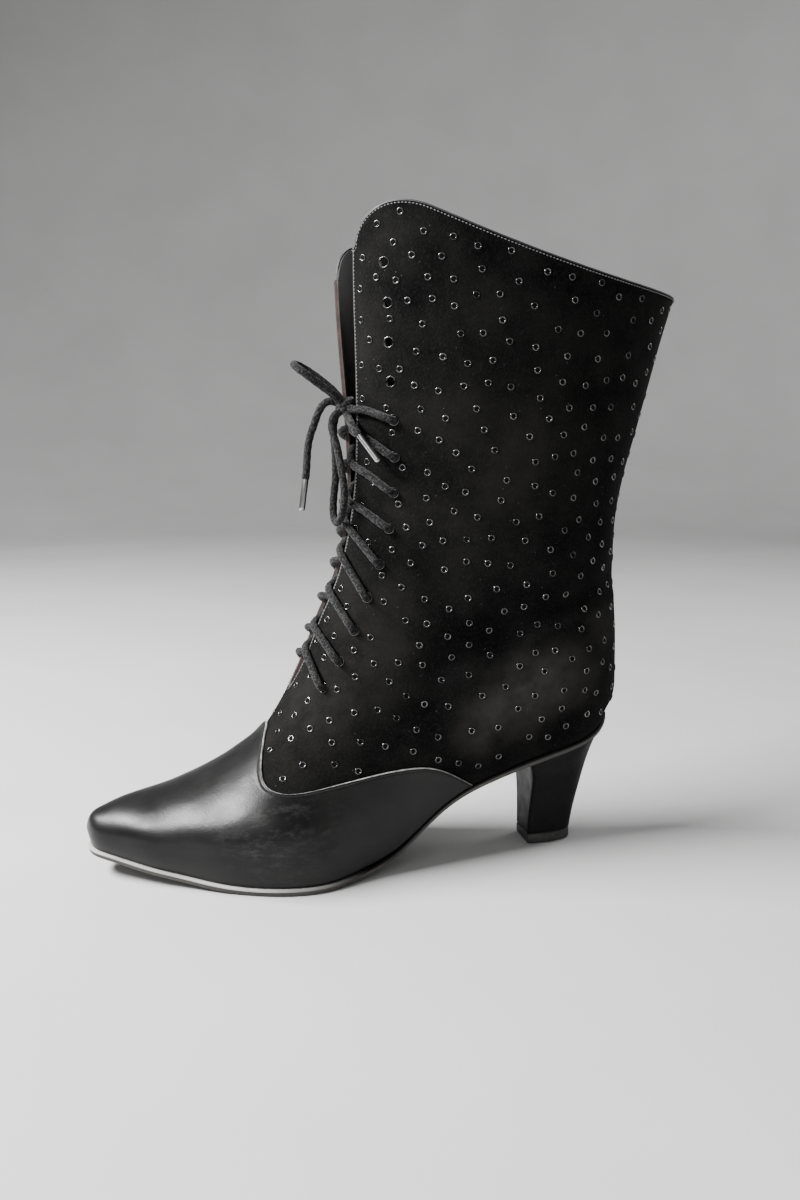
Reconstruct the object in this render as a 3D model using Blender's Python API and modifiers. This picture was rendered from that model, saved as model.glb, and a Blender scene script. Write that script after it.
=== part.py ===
"""Left lace-up boot: suede shaft, smooth leather vamp, thin sole and covered heel."""
import math

import bmesh
import bpy
import numpy as np

# Sizes are in millimetres and MM turns them into metres.
# X runs to the toe, +Y to the outer side of the left foot, Z up.
# The origin is the middle of the heel's ground face.
MM = 0.001
NAME = "lace_boot"

WALL = 1.8
GAP = 0.35

# Sections of the last from the toe tip to the back of the heel seat.
# Half widths are measured from the ridge; widest is the share of the way down.
FOOT_COLUMNS = ("top_x", "top_z", "foot_x", "foot_z", "ridge_y", "lateral", "medial",
                "feather_lateral", "feather_medial", "widest", "turn_under")
FOOT = (
    (221.6, 20.4, 219.6, 13.2, -1.5, 0.0, 0.0, 0.0, 0.0, 0.60, 55),
    (220.5, 24.7, 217.9, 12.9, -1.5, 7.2, 7.2, 6.0, 6.0, 0.60, 55),
    (216.0, 28.0, 212.4, 12.0, -1.6, 13.0, 13.0, 10.9, 10.9, 0.60, 55),
    (208.8, 30.8, 203.4, 10.2, -1.7, 18.6, 18.4, 16.2, 16.0, 0.60, 55),
    (199.8, 33.2, 192.2, 8.1, -1.9, 25.0, 24.2, 22.8, 22.2, 0.60, 55),
    (188.6, 35.8, 178.5, 6.0, -2.2, 31.5, 29.0, 29.6, 27.0, 0.60, 55),
    (177.6, 39.5, 164.5, 4.2, -2.6, 38.8, 32.5, 37.2, 30.4, 0.60, 55),
    (166.0, 44.7, 150.0, 3.3, -3.0, 45.2, 35.0, 43.6, 32.9, 0.61, 55),
    (154.6, 51.3, 134.5, 3.3, -3.3, 49.2, 36.0, 48.0, 33.2, 0.62, 55),
    (143.2, 59.6, 117.5, 3.4, -3.4, 48.6, 35.4, 46.8, 31.0, 0.63, 55),
    (134.8, 71.0, 100.5, 5.2, -3.2, 43.4, 34.0, 38.6, 27.6, 0.64, 55),
    (127.2, 85.0, 84.0, 10.8, -2.8, 39.5, 33.0, 32.4, 23.4, 0.64, 55),
    (120.8, 100.0, 68.0, 22.9, -2.4, 36.6, 32.4, 28.6, 19.4, 0.64, 55),
    (115.2, 116.0, 51.0, 34.7, -2.0, 34.8, 32.2, 26.4, 18.2, 0.64, 57),
    (109.1, 130.5, 31.5, 43.2, -1.5, 33.6, 32.0, 25.8, 20.6, 0.64, 62),
    (104.4, 146.5, 9.0, 51.0, -1.0, 32.9, 31.8, 26.0, 23.8, 0.64, 70),
    (101.5, 162.5, -12.8, 57.9, -0.5, 32.6, 32.0, 22.0, 21.3, 0.64, 80),
    (100.2, 173.0, -23.2, 62.2, -0.2, 32.6, 32.1, 11.6, 11.5, 0.64, 88),
    (99.4, 182.0, -26.9, 63.9, 0.0, 32.7, 32.3, 0.0, 0.0, 0.63, 90),
)
# Sections of the shaft, from above the heel seat up past the collar.
SHAFT_COLUMNS = ("top_x", "top_z", "back_x", "back_z", "ridge_y", "lateral", "medial", "widest")
SHAFT = (
    (99.2, 187.0, -30.1, 69.6, 0.0, 32.8, 32.4, 0.63),
    (98.8, 198.0, -31.6, 83.0, 0.0, 33.0, 32.7, 0.62),
    (98.6, 216.0, -30.6, 112.0, 0.0, 33.5, 33.2, 0.60),
    (98.8, 236.0, -28.8, 142.0, 0.0, 34.2, 34.0, 0.58),
    (99.2, 256.0, -30.6, 168.0, 0.0, 35.2, 35.0, 0.56),
    (99.4, 280.0, -38.2, 199.5, 0.0, 36.6, 36.4, 0.54),
    (99.2, 308.0, -46.8, 232.5, 0.0, 38.0, 37.8, 0.53),
    (99.0, 340.0, -56.8, 266.5, 0.0, 39.0, 38.8, 0.52),
    (99.0, 374.0, -67.0, 300.0, 0.0, 39.6, 39.4, 0.52),
)

# The inner quarter's front edge stands this far ahead of the outer one in the shaft.
MEDIAL_LEAD = 6.5
LEAD_FROM_Z = 138.0
LEAD_TO_Z = 272.0

# Throat slit: where it starts on the ridge and how far each edge is from the ridge.
THROAT_FOOT_Z = 82.0
THROAT_HALF = {1: 6.4, -1: 6.5}
THROAT_OPENING_RUN = 40.0

# Collar line: heights at the back, a gentle dip and rounded front corners.
COLLAR_BACK_X = -55.0
COLLAR_BACK_Z = 262.5
COLLAR_SLOPE = 0.085
COLLAR_LIFT = 0.00152
COLLAR_FRONT_X = 97.5
COLLAR_CORNER = 30.0
COLLAR_MEDIAL_DROP = 16.0

# Thirteen lace holes a side, as seen from the side, top to bottom.
LACE_HOLE_DIAMETER = 4.4
LACE_HOLES = (
    (86.9, 273.4), (85.4, 256.4), (84.9, 239.7), (83.9, 222.8), (82.6, 206.2),
    (82.2, 190.0), (82.7, 174.2), (84.6, 158.2), (88.9, 142.0), (94.6, 127.1),
    (100.8, 112.4), (108.0, 98.6), (115.4, 86.6),
)

# The vamp's edge as seen from the side, ridge to feather line.
VAMP_EDGE = (
    (137.7, 66.6), (139.9, 62.3), (142.3, 56.5), (143.7, 50.6), (142.6, 46.0), (138.1, 43.7),
    (130.6, 43.2), (117.3, 44.8), (99.0, 48.1), (80.6, 50.3), (66.1, 49.1), (53.4, 42.7), (44.0, 36.2),
)
VAMP_THICKNESS = 1.2
VAMP_LOWEST = 0.98
VAMP_CLEAR = 0.45

TONGUE_THICKNESS = 1.6
TONGUE_CLEAR = 4.2
TONGUE_HALF = 21.0
TONGUE_FOOT_Z = 63.0
TONGUE_TOP_Z = 268.0

SOLE_THICKNESS = 3.0
SOLE_LEDGE_FOREFOOT = 2.9
SOLE_LEDGE_WAIST = 0.9
SOLE_EDGE_BEVEL = 0.5
INSOLE_THICKNESS = 2.0
INSOLE_INSET = 3.2

# Heel rings from the top piece up to the seat.
HEEL_COLUMNS = ("share_up", "breast_x", "back_x", "half_width")
HEEL = (
    (0.00, 13.4, -10.8, 9.4),
    (0.20, 13.2, -12.5, 10.2),
    (0.45, 12.9, -15.4, 12.4),
    (0.70, 13.3, -18.6, 16.2),
    (0.86, 14.8, -21.4, 20.0),
    (1.00, 17.0, -25.0, 22.8),
)
HEEL_ROUNDNESS = 2.4
TOP_PIECE_HEIGHT = 5.0

LACE_DIAMETER = 3.5
LACE_CLEAR = 0.7
# Where each laced row's bar meets the quarters' edges, in shares of the way up to the next row.
LACE_EDGE_COLUMNS = ("outer", "inner")
LACE_EDGES = (
    (0.38, 0.10), (0.14, -0.06), (0.32, -0.02), (0.50, 0.12),
    (0.32, 0.05), (-0.10, -0.20), (-0.08, -0.20), (-0.10, -0.20),
)
LACE_DIP = -0.3
KNOT_CENTRE = (101.4, 2.4, 212.4)
KNOT_HALF = (4.2, 4.4, 4.0)
LOOP_UP = (
    (104.6, -1.8, 217.8), (109.2, -3.2, 222.3), (114.8, -4.0, 226.6), (119.6, -3.9, 229.6),
    (122.8, -2.2, 230.9), (124.2, 0.8, 230.7), (122.9, 3.9, 229.0), (119.4, 5.5, 226.3),
    (114.8, 5.6, 222.9), (110.4, 5.4, 219.8), (106.4, 5.0, 216.8),
)
LOOP_DOWN = (
    (106.6, 4.8, 208.2), (108.0, 5.2, 204.4), (106.6, 6.6, 196.8), (104.8, 9.0, 186.6),
    (103.6, 11.2, 176.5), (104.0, 11.6, 167.2), (105.1, 10.2, 162.2), (106.3, 6.5, 160.0),
    (107.0, 2.8, 162.0), (107.1, 1.2, 166.8), (106.7, 1.2, 172.6), (106.0, 1.2, 178.8),
    (105.8, 1.2, 186.4), (106.2, 0.6, 196.0), (106.2, 0.2, 205.2),
)
END_LEFT = (
    (109.2, 0.9, 214.4), (112.6, 1.2, 211.2), (115.4, 1.5, 204.6), (117.6, 1.8, 198.4),
    (118.8, 2.0, 191.6), (119.5, 2.0, 182.2),
)
AGLET_LEFT = ((119.6, 2.0, 181.7), (121.8, 2.0, 165.3))
END_RIGHT = ((100.6, 8.4, 206.6), (100.2, 12.4, 204.6), (98.8, 15.6, 201.7))
AGLET_RIGHT = ((98.5, 16.0, 201.3), (89.8, 23.6, 187.9))
AGLET_DIAMETER = 2.9

FOOT_STEPS = 20
INSTEP_STEPS = 10
SHAFT_STEPS = 11
AROUND_STEPS = 12
VAMP_STEPS = 21
VAMP_TOE_STEPS = 13
VAMP_EDGE_STEPS = 8

COLOURS = {
    "suede": (0.012, 0.012, 0.013, 1.0),
    "smooth_leather": (0.010, 0.010, 0.011, 1.0),
    "sole_leather": (0.030, 0.028, 0.027, 1.0),
    "heel_cover": (0.010, 0.010, 0.010, 1.0),
    "rubber": (0.016, 0.016, 0.016, 1.0),
    "lining": (0.050, 0.036, 0.030, 1.0),
    "cord": (0.020, 0.020, 0.022, 1.0),
    "metal": (0.420, 0.420, 0.430, 1.0),
}
ROUGHNESS = {
    "suede": 0.95, "smooth_leather": 0.35, "sole_leather": 0.55, "heel_cover": 0.45,
    "rubber": 0.80, "lining": 0.70, "cord": 0.90, "metal": 0.25,
}


# Smooth curves through table rows
def natural_spline(knots, values):
    """Return a smooth function of the knots' variable through the rows of values."""
    knots = np.asarray(knots, float)
    values = np.asarray(values, float)
    gap = np.diff(knots)
    system = np.eye(len(knots))
    right = np.zeros_like(values)
    for i in range(1, len(knots) - 1):
        system[i, i - 1:i + 2] = gap[i - 1], 2.0 * (gap[i - 1] + gap[i]), gap[i]
        rise_after = (values[i + 1] - values[i]) / gap[i]
        rise_before = (values[i] - values[i - 1]) / gap[i - 1]
        right[i] = 6.0 * (rise_after - rise_before)
    bend = np.linalg.solve(system, right)

    def at(place):
        place = np.asarray(place, float)
        i = np.clip(np.searchsorted(knots, place) - 1, 0, len(knots) - 2)
        before = ((knots[i + 1] - place) / gap[i])[..., None]
        after = 1.0 - before
        reach = (gap[i] ** 2 / 6.0)[..., None]
        straight = before * values[i] + after * values[i + 1]
        curved = (before ** 3 - before) * bend[i] + (after ** 3 - after) * bend[i + 1]
        return straight + curved * reach

    return at


def mirrored(knots, values, signs, at_end):
    """Extend rows past an end by their mirror image so that the form closes round."""
    picks = (-2, -3) if at_end else (2, 1)
    edge = knots[-1] if at_end else knots[0]
    extra_knots = [2.0 * edge - knots[i] for i in picks]
    extra_values = [values[i] * signs for i in picks]
    if at_end:
        return np.concatenate((knots, extra_knots)), np.vstack((values, extra_values))
    return np.concatenate((extra_knots, knots)), np.vstack((extra_values, values))


foot_rows = np.array(FOOT, float)
shaft_rows = np.array(SHAFT, float)
foot_step = 0.5 * (np.linalg.norm(np.diff(foot_rows[:, 0:2], axis=0), axis=1)
                   + np.linalg.norm(np.diff(foot_rows[:, [2, 3, 7]], axis=0), axis=1))
foot_knots = np.concatenate(([0.0], np.cumsum(foot_step)))
HEEL_STATION = foot_knots[-1]
seam_rows = np.vstack((foot_rows[-1:, 2:4], shaft_rows[:, 2:4]))
top_rows = np.vstack((foot_rows[-1:, 0:2], shaft_rows[:, 0:2]))
shaft_step = 0.5 * (np.linalg.norm(np.diff(top_rows, axis=0), axis=1)
                    + np.linalg.norm(np.diff(seam_rows, axis=0), axis=1))
shaft_knots = HEEL_STATION + np.concatenate(([0.0], np.cumsum(shaft_step)))
TOP_STATION = shaft_knots[-1]

# top_x, top_z, ridge_y, lateral, medial and widest run over the whole boot.
body_rows = np.vstack((foot_rows[:, [0, 1, 4, 5, 6, 9]], shaft_rows[:, [0, 1, 4, 5, 6, 7]]))
body_knots = np.concatenate((foot_knots, shaft_knots[1:]))
body_at = natural_spline(*mirrored(body_knots, body_rows, np.array([1, 1, 1, -1, -1, 1]), False))
# foot_x, foot_z, feather widths and turn_under run round the sole's edge.
edge_signs = np.array([1, 1, -1, -1, 1])
edge_knots, edge_rows = mirrored(foot_knots, foot_rows[:, [2, 3, 7, 8, 10]], edge_signs, False)
edge_at = natural_spline(*mirrored(edge_knots, edge_rows, edge_signs, True))
seam_at = natural_spline(shaft_knots, seam_rows)


def ease(value, start, end):
    share = np.clip((value - start) / (end - start), 0.0, 1.0)
    return share * share * (3.0 - 2.0 * share)


def section(station, side, lead=True):
    """Sizes of the section at a station: top, bottom, ridge, half width, feather, widest, turn."""
    station = np.asarray(station, float)
    body = body_at(np.clip(station, 0.0, TOP_STATION))
    edge = edge_at(np.clip(station, 0.0, HEEL_STATION))
    seam = seam_at(np.clip(station, HEEL_STATION, TOP_STATION))
    up_the_back = (station > HEEL_STATION)[..., None]
    top = body[..., 0:2].copy()
    if lead and side < 0:
        top[..., 0] += MEDIAL_LEAD * ease(top[..., 1], LEAD_FROM_Z, LEAD_TO_Z)
    bottom = np.where(up_the_back, seam, edge[..., 0:2])
    feather = np.where(up_the_back[..., 0], 0.0, edge[..., 2 if side > 0 else 3])
    turn = np.where(up_the_back[..., 0], 90.0, edge[..., 4])
    width = body[..., 3 if side > 0 else 4]
    return top, bottom, body[..., 2], width, np.maximum(feather, 0.0), body[..., 5], np.radians(turn)


def skin(station, around, side, lead=True):
    """Point of the upper's outer skin; around is 0 on the ridge and 1 at feather or back seam."""
    around = np.asarray(around, float)
    top, bottom, ridge, width, feather, widest, turn = section(station, side, lead)
    above = np.minimum(around, 0.5) * math.pi
    below = np.maximum(around - 0.5, 0.0) * 2.0 * turn
    down = widest * (1.0 - np.cos(above)) + (1.0 - widest) * np.sin(below) / np.sin(turn)
    tuck = (1.0 - np.cos(below)) / (1.0 - np.cos(turn))
    out = np.where(around < 0.5, width * np.sin(above), width - (width - feather) * tuck)
    flat = top + down[..., None] * (bottom - top)
    return np.stack((flat[..., 0], ridge + side * out, flat[..., 1]), axis=-1)


def outward(station, around, side, lead=True):
    """Way out of the skin; where the skin turns under it stays level and keeps the same clearance."""
    station = np.clip(np.asarray(station, float), 1.0, TOP_STATION - 1.0)
    around = np.clip(np.asarray(around, float), 0.004, 0.996)
    along = skin(station + 0.4, around, side, lead) - skin(station - 0.4, around, side, lead)
    across = skin(station, around + 0.003, side, lead) - skin(station, around - 0.003, side, lead)
    normal = np.cross(across, along) * side
    normal = normal / np.linalg.norm(normal, axis=-1, keepdims=True)
    level = normal[..., 0:1] ** 2 + normal[..., 1:2] ** 2
    flat = normal * (1.0, 1.0, 0.0) / np.maximum(level, 0.4)
    return np.where(normal[..., 2:3] < 0.0, flat, normal)


def lifted(station, around, side, lift, lead=True):
    return skin(station, around, side, lead) + lift * outward(station, around, side, lead)


def find(x, z, side):
    """Station and around of the skin point that is seen at x, z from the side."""
    stations = np.linspace(0.5, TOP_STATION, 4000)
    top, bottom, _, _, _, widest, turn = section(stations, side)
    chord = bottom - top
    off = np.array([x, z]) - top
    turned = chord[:, 0] * off[:, 1] - chord[:, 1] * off[:, 0]
    i = int(np.argmax(turned < 0.0)) if turned[0] > 0.0 else int(np.argmax(turned > 0.0))
    share = turned[i - 1] / (turned[i - 1] - turned[i])
    station = stations[i - 1] + share * (stations[i] - stations[i - 1])
    down = float(np.dot(off[i], chord[i]) / np.dot(chord[i], chord[i]))
    down = min(max(down, 0.0), 1.0)
    if down < widest[i]:
        return station, math.acos(1.0 - down / widest[i]) / math.pi
    lower = (down - widest[i]) / (1.0 - widest[i]) * math.sin(turn[i])
    return station, 0.5 + math.asin(min(lower, 1.0)) / (2.0 * turn[i])


def station_of_top(z):
    """Station at which the ridge reaches height z."""
    stations = np.linspace(0.0, TOP_STATION, 4000)
    return float(np.interp(z, body_at(stations)[:, 1], stations))


def throat_around(station, side):
    """Around of the throat edge at a station, 0 below the slit."""
    run = np.clip((station - THROAT_STATION) / THROAT_OPENING_RUN, 0.0, 1.0)
    half = THROAT_HALF[side] * np.sqrt(run * (2.0 - run))
    width = body_at(station)[..., 3 if side > 0 else 4]
    return np.arcsin(half / np.maximum(width, half + 0.1)) / math.pi


def collar_height(x, side):
    """Height of the collar line over x."""
    front = COLLAR_FRONT_X + (MEDIAL_LEAD if side < 0 else 0.0)
    back = x - COLLAR_BACK_X
    line = COLLAR_BACK_Z + COLLAR_SLOPE * back + COLLAR_LIFT * back * back
    into_corner = np.clip((x - front + COLLAR_CORNER) / COLLAR_CORNER, 0.0, 1.0)
    line = line - COLLAR_CORNER * (1.0 - np.sqrt(1.0 - into_corner ** 2))
    if side < 0:
        line = line - COLLAR_MEDIAL_DROP * ease(x, COLLAR_BACK_X, 60.0)
    return line


def collar_station(share, side):
    """Station at which the column at a share of the way round meets the collar line."""
    low = HEEL_STATION + 20.0
    high = TOP_STATION
    for _ in range(40):
        middle = 0.5 * (low + high)
        edge = throat_around(middle, side)
        point = skin(middle, edge + (1.0 - edge) * share, side)
        if point[2] > collar_height(point[0], side):
            high = middle
        else:
            low = middle
    return 0.5 * (low + high)


THROAT_STATION = station_of_top(THROAT_FOOT_Z)


# Objects, materials and meshes
for old in list(bpy.data.objects):
    bpy.data.objects.remove(old, do_unlink=True)

boot = bpy.data.collections.new(NAME)
cutters = bpy.data.collections.new("cutters")
bpy.context.scene.collection.children.link(boot)
bpy.context.scene.collection.children.link(cutters)


def material(name):
    found = bpy.data.materials.get(name)
    if found:
        return found
    made = bpy.data.materials.new(name)
    made.use_nodes = True
    shader = made.node_tree.nodes["Principled BSDF"]
    shader.inputs["Base Color"].default_value = COLOURS[name]
    shader.inputs["Roughness"].default_value = ROUGHNESS[name]
    if name == "metal":
        shader.inputs["Metallic"].default_value = 1.0
    return made


def add_object(name, points, faces, finish, collection=boot):
    """Weld the points into one mesh object with its faces turned outward."""
    mesh = bpy.data.meshes.new(name)
    mesh.from_pydata((np.asarray(points) * MM).tolist(), [], faces)
    work = bmesh.new()
    work.from_mesh(mesh)
    bmesh.ops.remove_doubles(work, verts=work.verts, dist=0.002 * MM)
    bmesh.ops.dissolve_degenerate(work, edges=work.edges, dist=0.001 * MM)
    bmesh.ops.recalc_face_normals(work, faces=work.faces)
    work.to_mesh(mesh)
    work.free()
    made = bpy.data.objects.new(name, mesh)
    collection.objects.link(made)
    made.data.materials.append(material(finish))
    return made


def grid_faces(rows, columns, first=0):
    """Quads of a rows by columns grid of points that starts at an index."""
    faces = []
    for i in range(rows - 1):
        for j in range(columns - 1):
            a = first + i * columns + j
            faces.append((a, a + 1, a + columns + 1, a + columns))
    return faces


def shell(name, sheets, finish):
    """Close pairs of equal grids, outer and inner, into one solid."""
    points = []
    faces = []
    for outer, inner in sheets:
        rows, columns = outer.shape[:2]
        first = len(points)
        second = first + rows * columns
        points.extend(outer.reshape(-1, 3))
        points.extend(inner.reshape(-1, 3))
        faces.extend(grid_faces(rows, columns, first))
        faces.extend(face[::-1] for face in grid_faces(rows, columns, second))
        ring = [j for j in range(columns)]
        ring += [i * columns + columns - 1 for i in range(1, rows)]
        ring += [(rows - 1) * columns + j for j in range(columns - 2, -1, -1)]
        ring += [i * columns for i in range(rows - 2, 0, -1)]
        for here, after in zip(ring, ring[1:] + ring[:1]):
            faces.append((first + here, second + here, second + after, first + after))
    return add_object(name, points, faces, finish)


# Upper
TOE_STATIONS = THROAT_STATION * np.linspace(0.0, 1.0, FOOT_STEPS + 1) ** 1.15
SHARES = np.linspace(0.0, 1.0, AROUND_STEPS + 1) ** 1.15


def upper_stations(side, share):
    """Stations of one column from the toe to the collar."""
    instep_part = np.linspace(THROAT_STATION, HEEL_STATION, INSTEP_STEPS + 1)[1:]
    shaft_part = np.linspace(HEEL_STATION, collar_station(share, side), SHAFT_STEPS + 1)[1:]
    return np.concatenate((TOE_STATIONS, instep_part, shaft_part))


def upper_sheet(side):
    columns = []
    for share in SHARES:
        stations = upper_stations(side, share)
        edge = throat_around(stations, side)
        columns.append(skin(stations, edge + (1.0 - edge) * share, side))
    return np.stack(columns, axis=1)


outer_side = upper_sheet(1)
inner_side = upper_sheet(-1)
sheet_points = np.concatenate((outer_side.reshape(-1, 3), inner_side.reshape(-1, 3)))
sheet_rows, sheet_columns = outer_side.shape[:2]
sheet_faces = grid_faces(sheet_rows, sheet_columns)
sheet_faces += [face[::-1] for face in grid_faces(sheet_rows, sheet_columns, sheet_rows * sheet_columns)]
upper = add_object("upper", sheet_points, sheet_faces, "suede")
wall = upper.modifiers.new("wall", "SOLIDIFY")
wall.thickness = WALL * MM
wall.offset = -1.0
wall.use_even_offset = True
wall.thickness_clamp = 1.0


def cylinder_points(centre, axis, radius, reach, sides):
    """Two rings of points and the faces of a capped cylinder."""
    axis = np.asarray(axis, float) / np.linalg.norm(axis)
    first = np.cross(axis, (0.0, 0.0, 1.0))
    first = first / np.linalg.norm(first)
    second = np.cross(axis, first)
    turns = np.linspace(0.0, 2.0 * math.pi, sides, endpoint=False)
    ring = radius * (np.cos(turns)[:, None] * first + np.sin(turns)[:, None] * second)
    points = np.concatenate((centre - axis * reach + ring, centre + axis * reach + ring))
    faces = [(i, (i + 1) % sides, sides + (i + 1) % sides, sides + i) for i in range(sides)]
    faces.append(tuple(range(sides))[::-1])
    faces.append(tuple(range(sides, 2 * sides)))
    return points, faces


hole_points = []
hole_faces = []
hole_places = {1: [], -1: []}
for side in (1, -1):
    for x, z in LACE_HOLES:
        forward = MEDIAL_LEAD * float(ease(z, LEAD_FROM_Z, LEAD_TO_Z)) if side < 0 else 0.0
        place = find(x + forward, z, side)
        hole_places[side].append(place)
        centre = skin(place[0], place[1], side)
        axis = outward(place[0], place[1], side)
        points, faces = cylinder_points(centre, axis, LACE_HOLE_DIAMETER / 2.0, 4.0, 10)
        hole_faces += [tuple(len(hole_points) + i for i in face) for face in faces]
        hole_points.extend(points)
lace_hole_cutter = add_object("lace_hole_cutter", hole_points, hole_faces, "suede", cutters)
lace_hole_cutter.hide_render = True
lace_hole_cutter.display_type = "WIRE"
holes = upper.modifiers.new("lace_holes", "BOOLEAN")
holes.operation = "DIFFERENCE"
holes.solver = "EXACT"
holes.object = lace_hole_cutter


# Vamp overlay
vamp_line = np.array(VAMP_EDGE)
vamp_knots = np.concatenate(([0.0], np.cumsum(np.linalg.norm(np.diff(vamp_line, axis=0), axis=1))))
vamp_curve = natural_spline(vamp_knots, vamp_line)


def vamp_columns(side):
    """Around and last station of each column, ridge to the wing's end on the sole."""
    fine = vamp_curve(np.linspace(0.0, vamp_knots[-1], 200))
    places = np.array([find(x, z, side) for x, z in fine])
    reached = np.maximum.accumulate(places[:, 1])
    reached[0] = 0.0
    along_wing = reached[np.linspace(0, len(fine) - 1, VAMP_EDGE_STEPS).round().astype(int)]
    extra = [at for at in along_wing if np.min(np.abs(SHARES - at)) > 0.012 and at < VAMP_LOWEST - 0.012]
    around = np.sort(np.concatenate((SHARES[:-1], extra, [VAMP_LOWEST])))
    return around, np.interp(around, reached, places[:, 0])


def vamp_sheet(side, lift):
    toe_part = TOE_STATIONS[:VAMP_TOE_STEPS + 1]
    columns = []
    for around, last in zip(*vamp_columns(side)):
        rest = np.linspace(toe_part[-1], last, VAMP_STEPS - VAMP_TOE_STEPS + 1)[1:]
        stations = np.concatenate((toe_part, rest))
        columns.append(lifted(stations, np.full_like(stations, around), side, lift))
    return np.stack(columns, axis=1)


def two_sided(make):
    """Join the outer and inner halves of a form over the ridge."""
    return np.concatenate((make(-1)[:, :0:-1], make(1)), axis=1)


def closed_toe(sheet):
    """Bring the first row's two halves together at the toe's front line."""
    half = (sheet.shape[1] - 1) // 2
    middle = 0.5 * (sheet[0, half:] + sheet[0, half::-1])
    sheet[0, half:] = middle
    sheet[0, :half] = middle[:0:-1]
    return sheet


def vamp_solid():
    outer = closed_toe(two_sided(lambda side: vamp_sheet(side, VAMP_CLEAR + VAMP_THICKNESS)))
    inner = closed_toe(two_sided(lambda side: vamp_sheet(side, VAMP_CLEAR)))
    rows, columns = outer.shape[:2]
    half = (columns - 1) // 2
    points = np.concatenate((outer.reshape(-1, 3), inner.reshape(-1, 3)))
    second = rows * columns
    faces = grid_faces(rows, columns)
    faces += [face[::-1] for face in grid_faces(rows, columns, second)]
    ring = [half * 2 + i * columns for i in range(rows)]
    ring += [(rows - 1) * columns + j for j in range(columns - 2, -1, -1)]
    ring += [i * columns for i in range(rows - 2, -1, -1)]
    for here, after in zip(ring, ring[1:]):
        faces.append((here, second + here, second + after, after))
    return add_object("vamp", points, faces, "smooth_leather")


vamp_solid()


# Tongue
def tongue_sheet(lift):
    stations = np.linspace(station_of_top(TONGUE_FOOT_Z), station_of_top(TONGUE_TOP_Z), 13)

    def half(side):
        width = body_at(stations)[:, 3 if side > 0 else 4]
        reach = np.arcsin(TONGUE_HALF / width) / math.pi
        columns = [lifted(stations, reach * share, side, lift, False) for share in np.linspace(0.0, 1.0, 5)]
        return np.stack(columns, axis=1)

    return two_sided(half)


tongue_outer = -(WALL + TONGUE_CLEAR)
shell("tongue", [(tongue_sheet(tongue_outer), tongue_sheet(tongue_outer - TONGUE_THICKNESS))], "smooth_leather")


# Sole and insole
def feather_line(station, side, grow):
    """Plan point of the feather line moved out by grow, at the line's height."""
    step = 0.3

    def plan(at):
        edge = edge_at(at)
        ridge = body_at(np.clip(at, 0.0, HEEL_STATION))[..., 2]
        return np.stack((edge[..., 0], ridge + side * edge[..., 2 if side > 0 else 3]), axis=-1)

    here = plan(station)
    run = plan(station + step) - plan(station - step)
    away = np.stack((-run[..., 1], run[..., 0]), axis=-1) * -side
    away = away / np.linalg.norm(away, axis=-1, keepdims=True)
    moved = here + np.asarray(grow)[..., None] * away
    return np.concatenate((moved, edge_at(station)[..., 1:2]), axis=-1)


def sole_stations(steps):
    share = 0.5 - 0.5 * np.cos(np.linspace(0.0, math.pi, steps + 1))
    even = np.linspace(0.0, 1.0, steps + 1)
    return HEEL_STATION * (0.6 * share + 0.4 * even)


def sole_sheet(stations, grow, across):
    """Grid across the sole from the outer feather line to the inner one."""
    outer = feather_line(stations, 1, grow)
    inner = feather_line(stations, -1, grow)
    for end in (0, -1):
        outer[end] = inner[end] = 0.5 * (outer[end] + inner[end])
    share = np.linspace(0.0, 1.0, across + 1)[None, :, None]
    return outer[:, None] * (1.0 - share) + inner[:, None] * share


sole_at = sole_stations(28)
ledge = SOLE_LEDGE_WAIST + (SOLE_LEDGE_FOREFOOT - SOLE_LEDGE_WAIST) * (1.0 - ease(
    edge_at(sole_at)[:, 0], 105.0, 50.0))
sole_top = sole_sheet(sole_at, ledge, 2)
sole_top[..., 2] -= GAP
sole_under = sole_sheet(sole_at, ledge - SOLE_EDGE_BEVEL, 2)
sole_under[..., 2] = np.maximum(sole_under[..., 2] - GAP - SOLE_THICKNESS, 0.0)
shell("outsole", [(sole_top, sole_under)], "sole_leather")

insole_under = sole_sheet(sole_at, np.full_like(sole_at, -INSOLE_INSET), 2)
insole_under[..., 2] += 0.1
insole_top = insole_under.copy()
insole_top[..., 2] += INSOLE_THICKNESS
shell("insole", [(insole_top, insole_under)], "lining")


# Heel
seat_line = edge_at(np.linspace(0.0, HEEL_STATION, 400))


def seat_under(x):
    """Height of the outsole's underside over x."""
    return np.interp(x, seat_line[::-1, 0], seat_line[::-1, 1]) - GAP - SOLE_THICKNESS


def heel_ring(breast, back, half, count=11):
    """Plan of the heel: straight breast and rounded back, breast corner to breast corner."""
    turn = np.linspace(-math.pi / 2.0, math.pi / 2.0, count)
    power = 2.0 / HEEL_ROUNDNESS
    x = breast - (breast - back) * np.abs(np.cos(turn)) ** power
    y = half * np.sign(np.sin(turn)) * np.abs(np.sin(turn)) ** power
    return x, y


def heel_block(name, rings, finish):
    """Stack rings of equal count; caps are strips across from side to side."""
    count = len(rings[0])
    points = np.concatenate(rings)
    faces = []
    for i in range(len(rings) - 1):
        low = i * count
        for j in range(count):
            after = (j + 1) % count
            faces.append((low + j, low + after, low + count + after, low + count + j))
    for first, flip in ((0, True), ((len(rings) - 1) * count, False)):
        for j in range(count // 2):
            face = [first + j, first + j + 1, first + count - 2 - j, first + count - 1 - j]
            face = list(dict.fromkeys(face))
            faces.append(tuple(face[::-1] if flip else face))
    return add_object(name, points, faces, finish)


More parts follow.
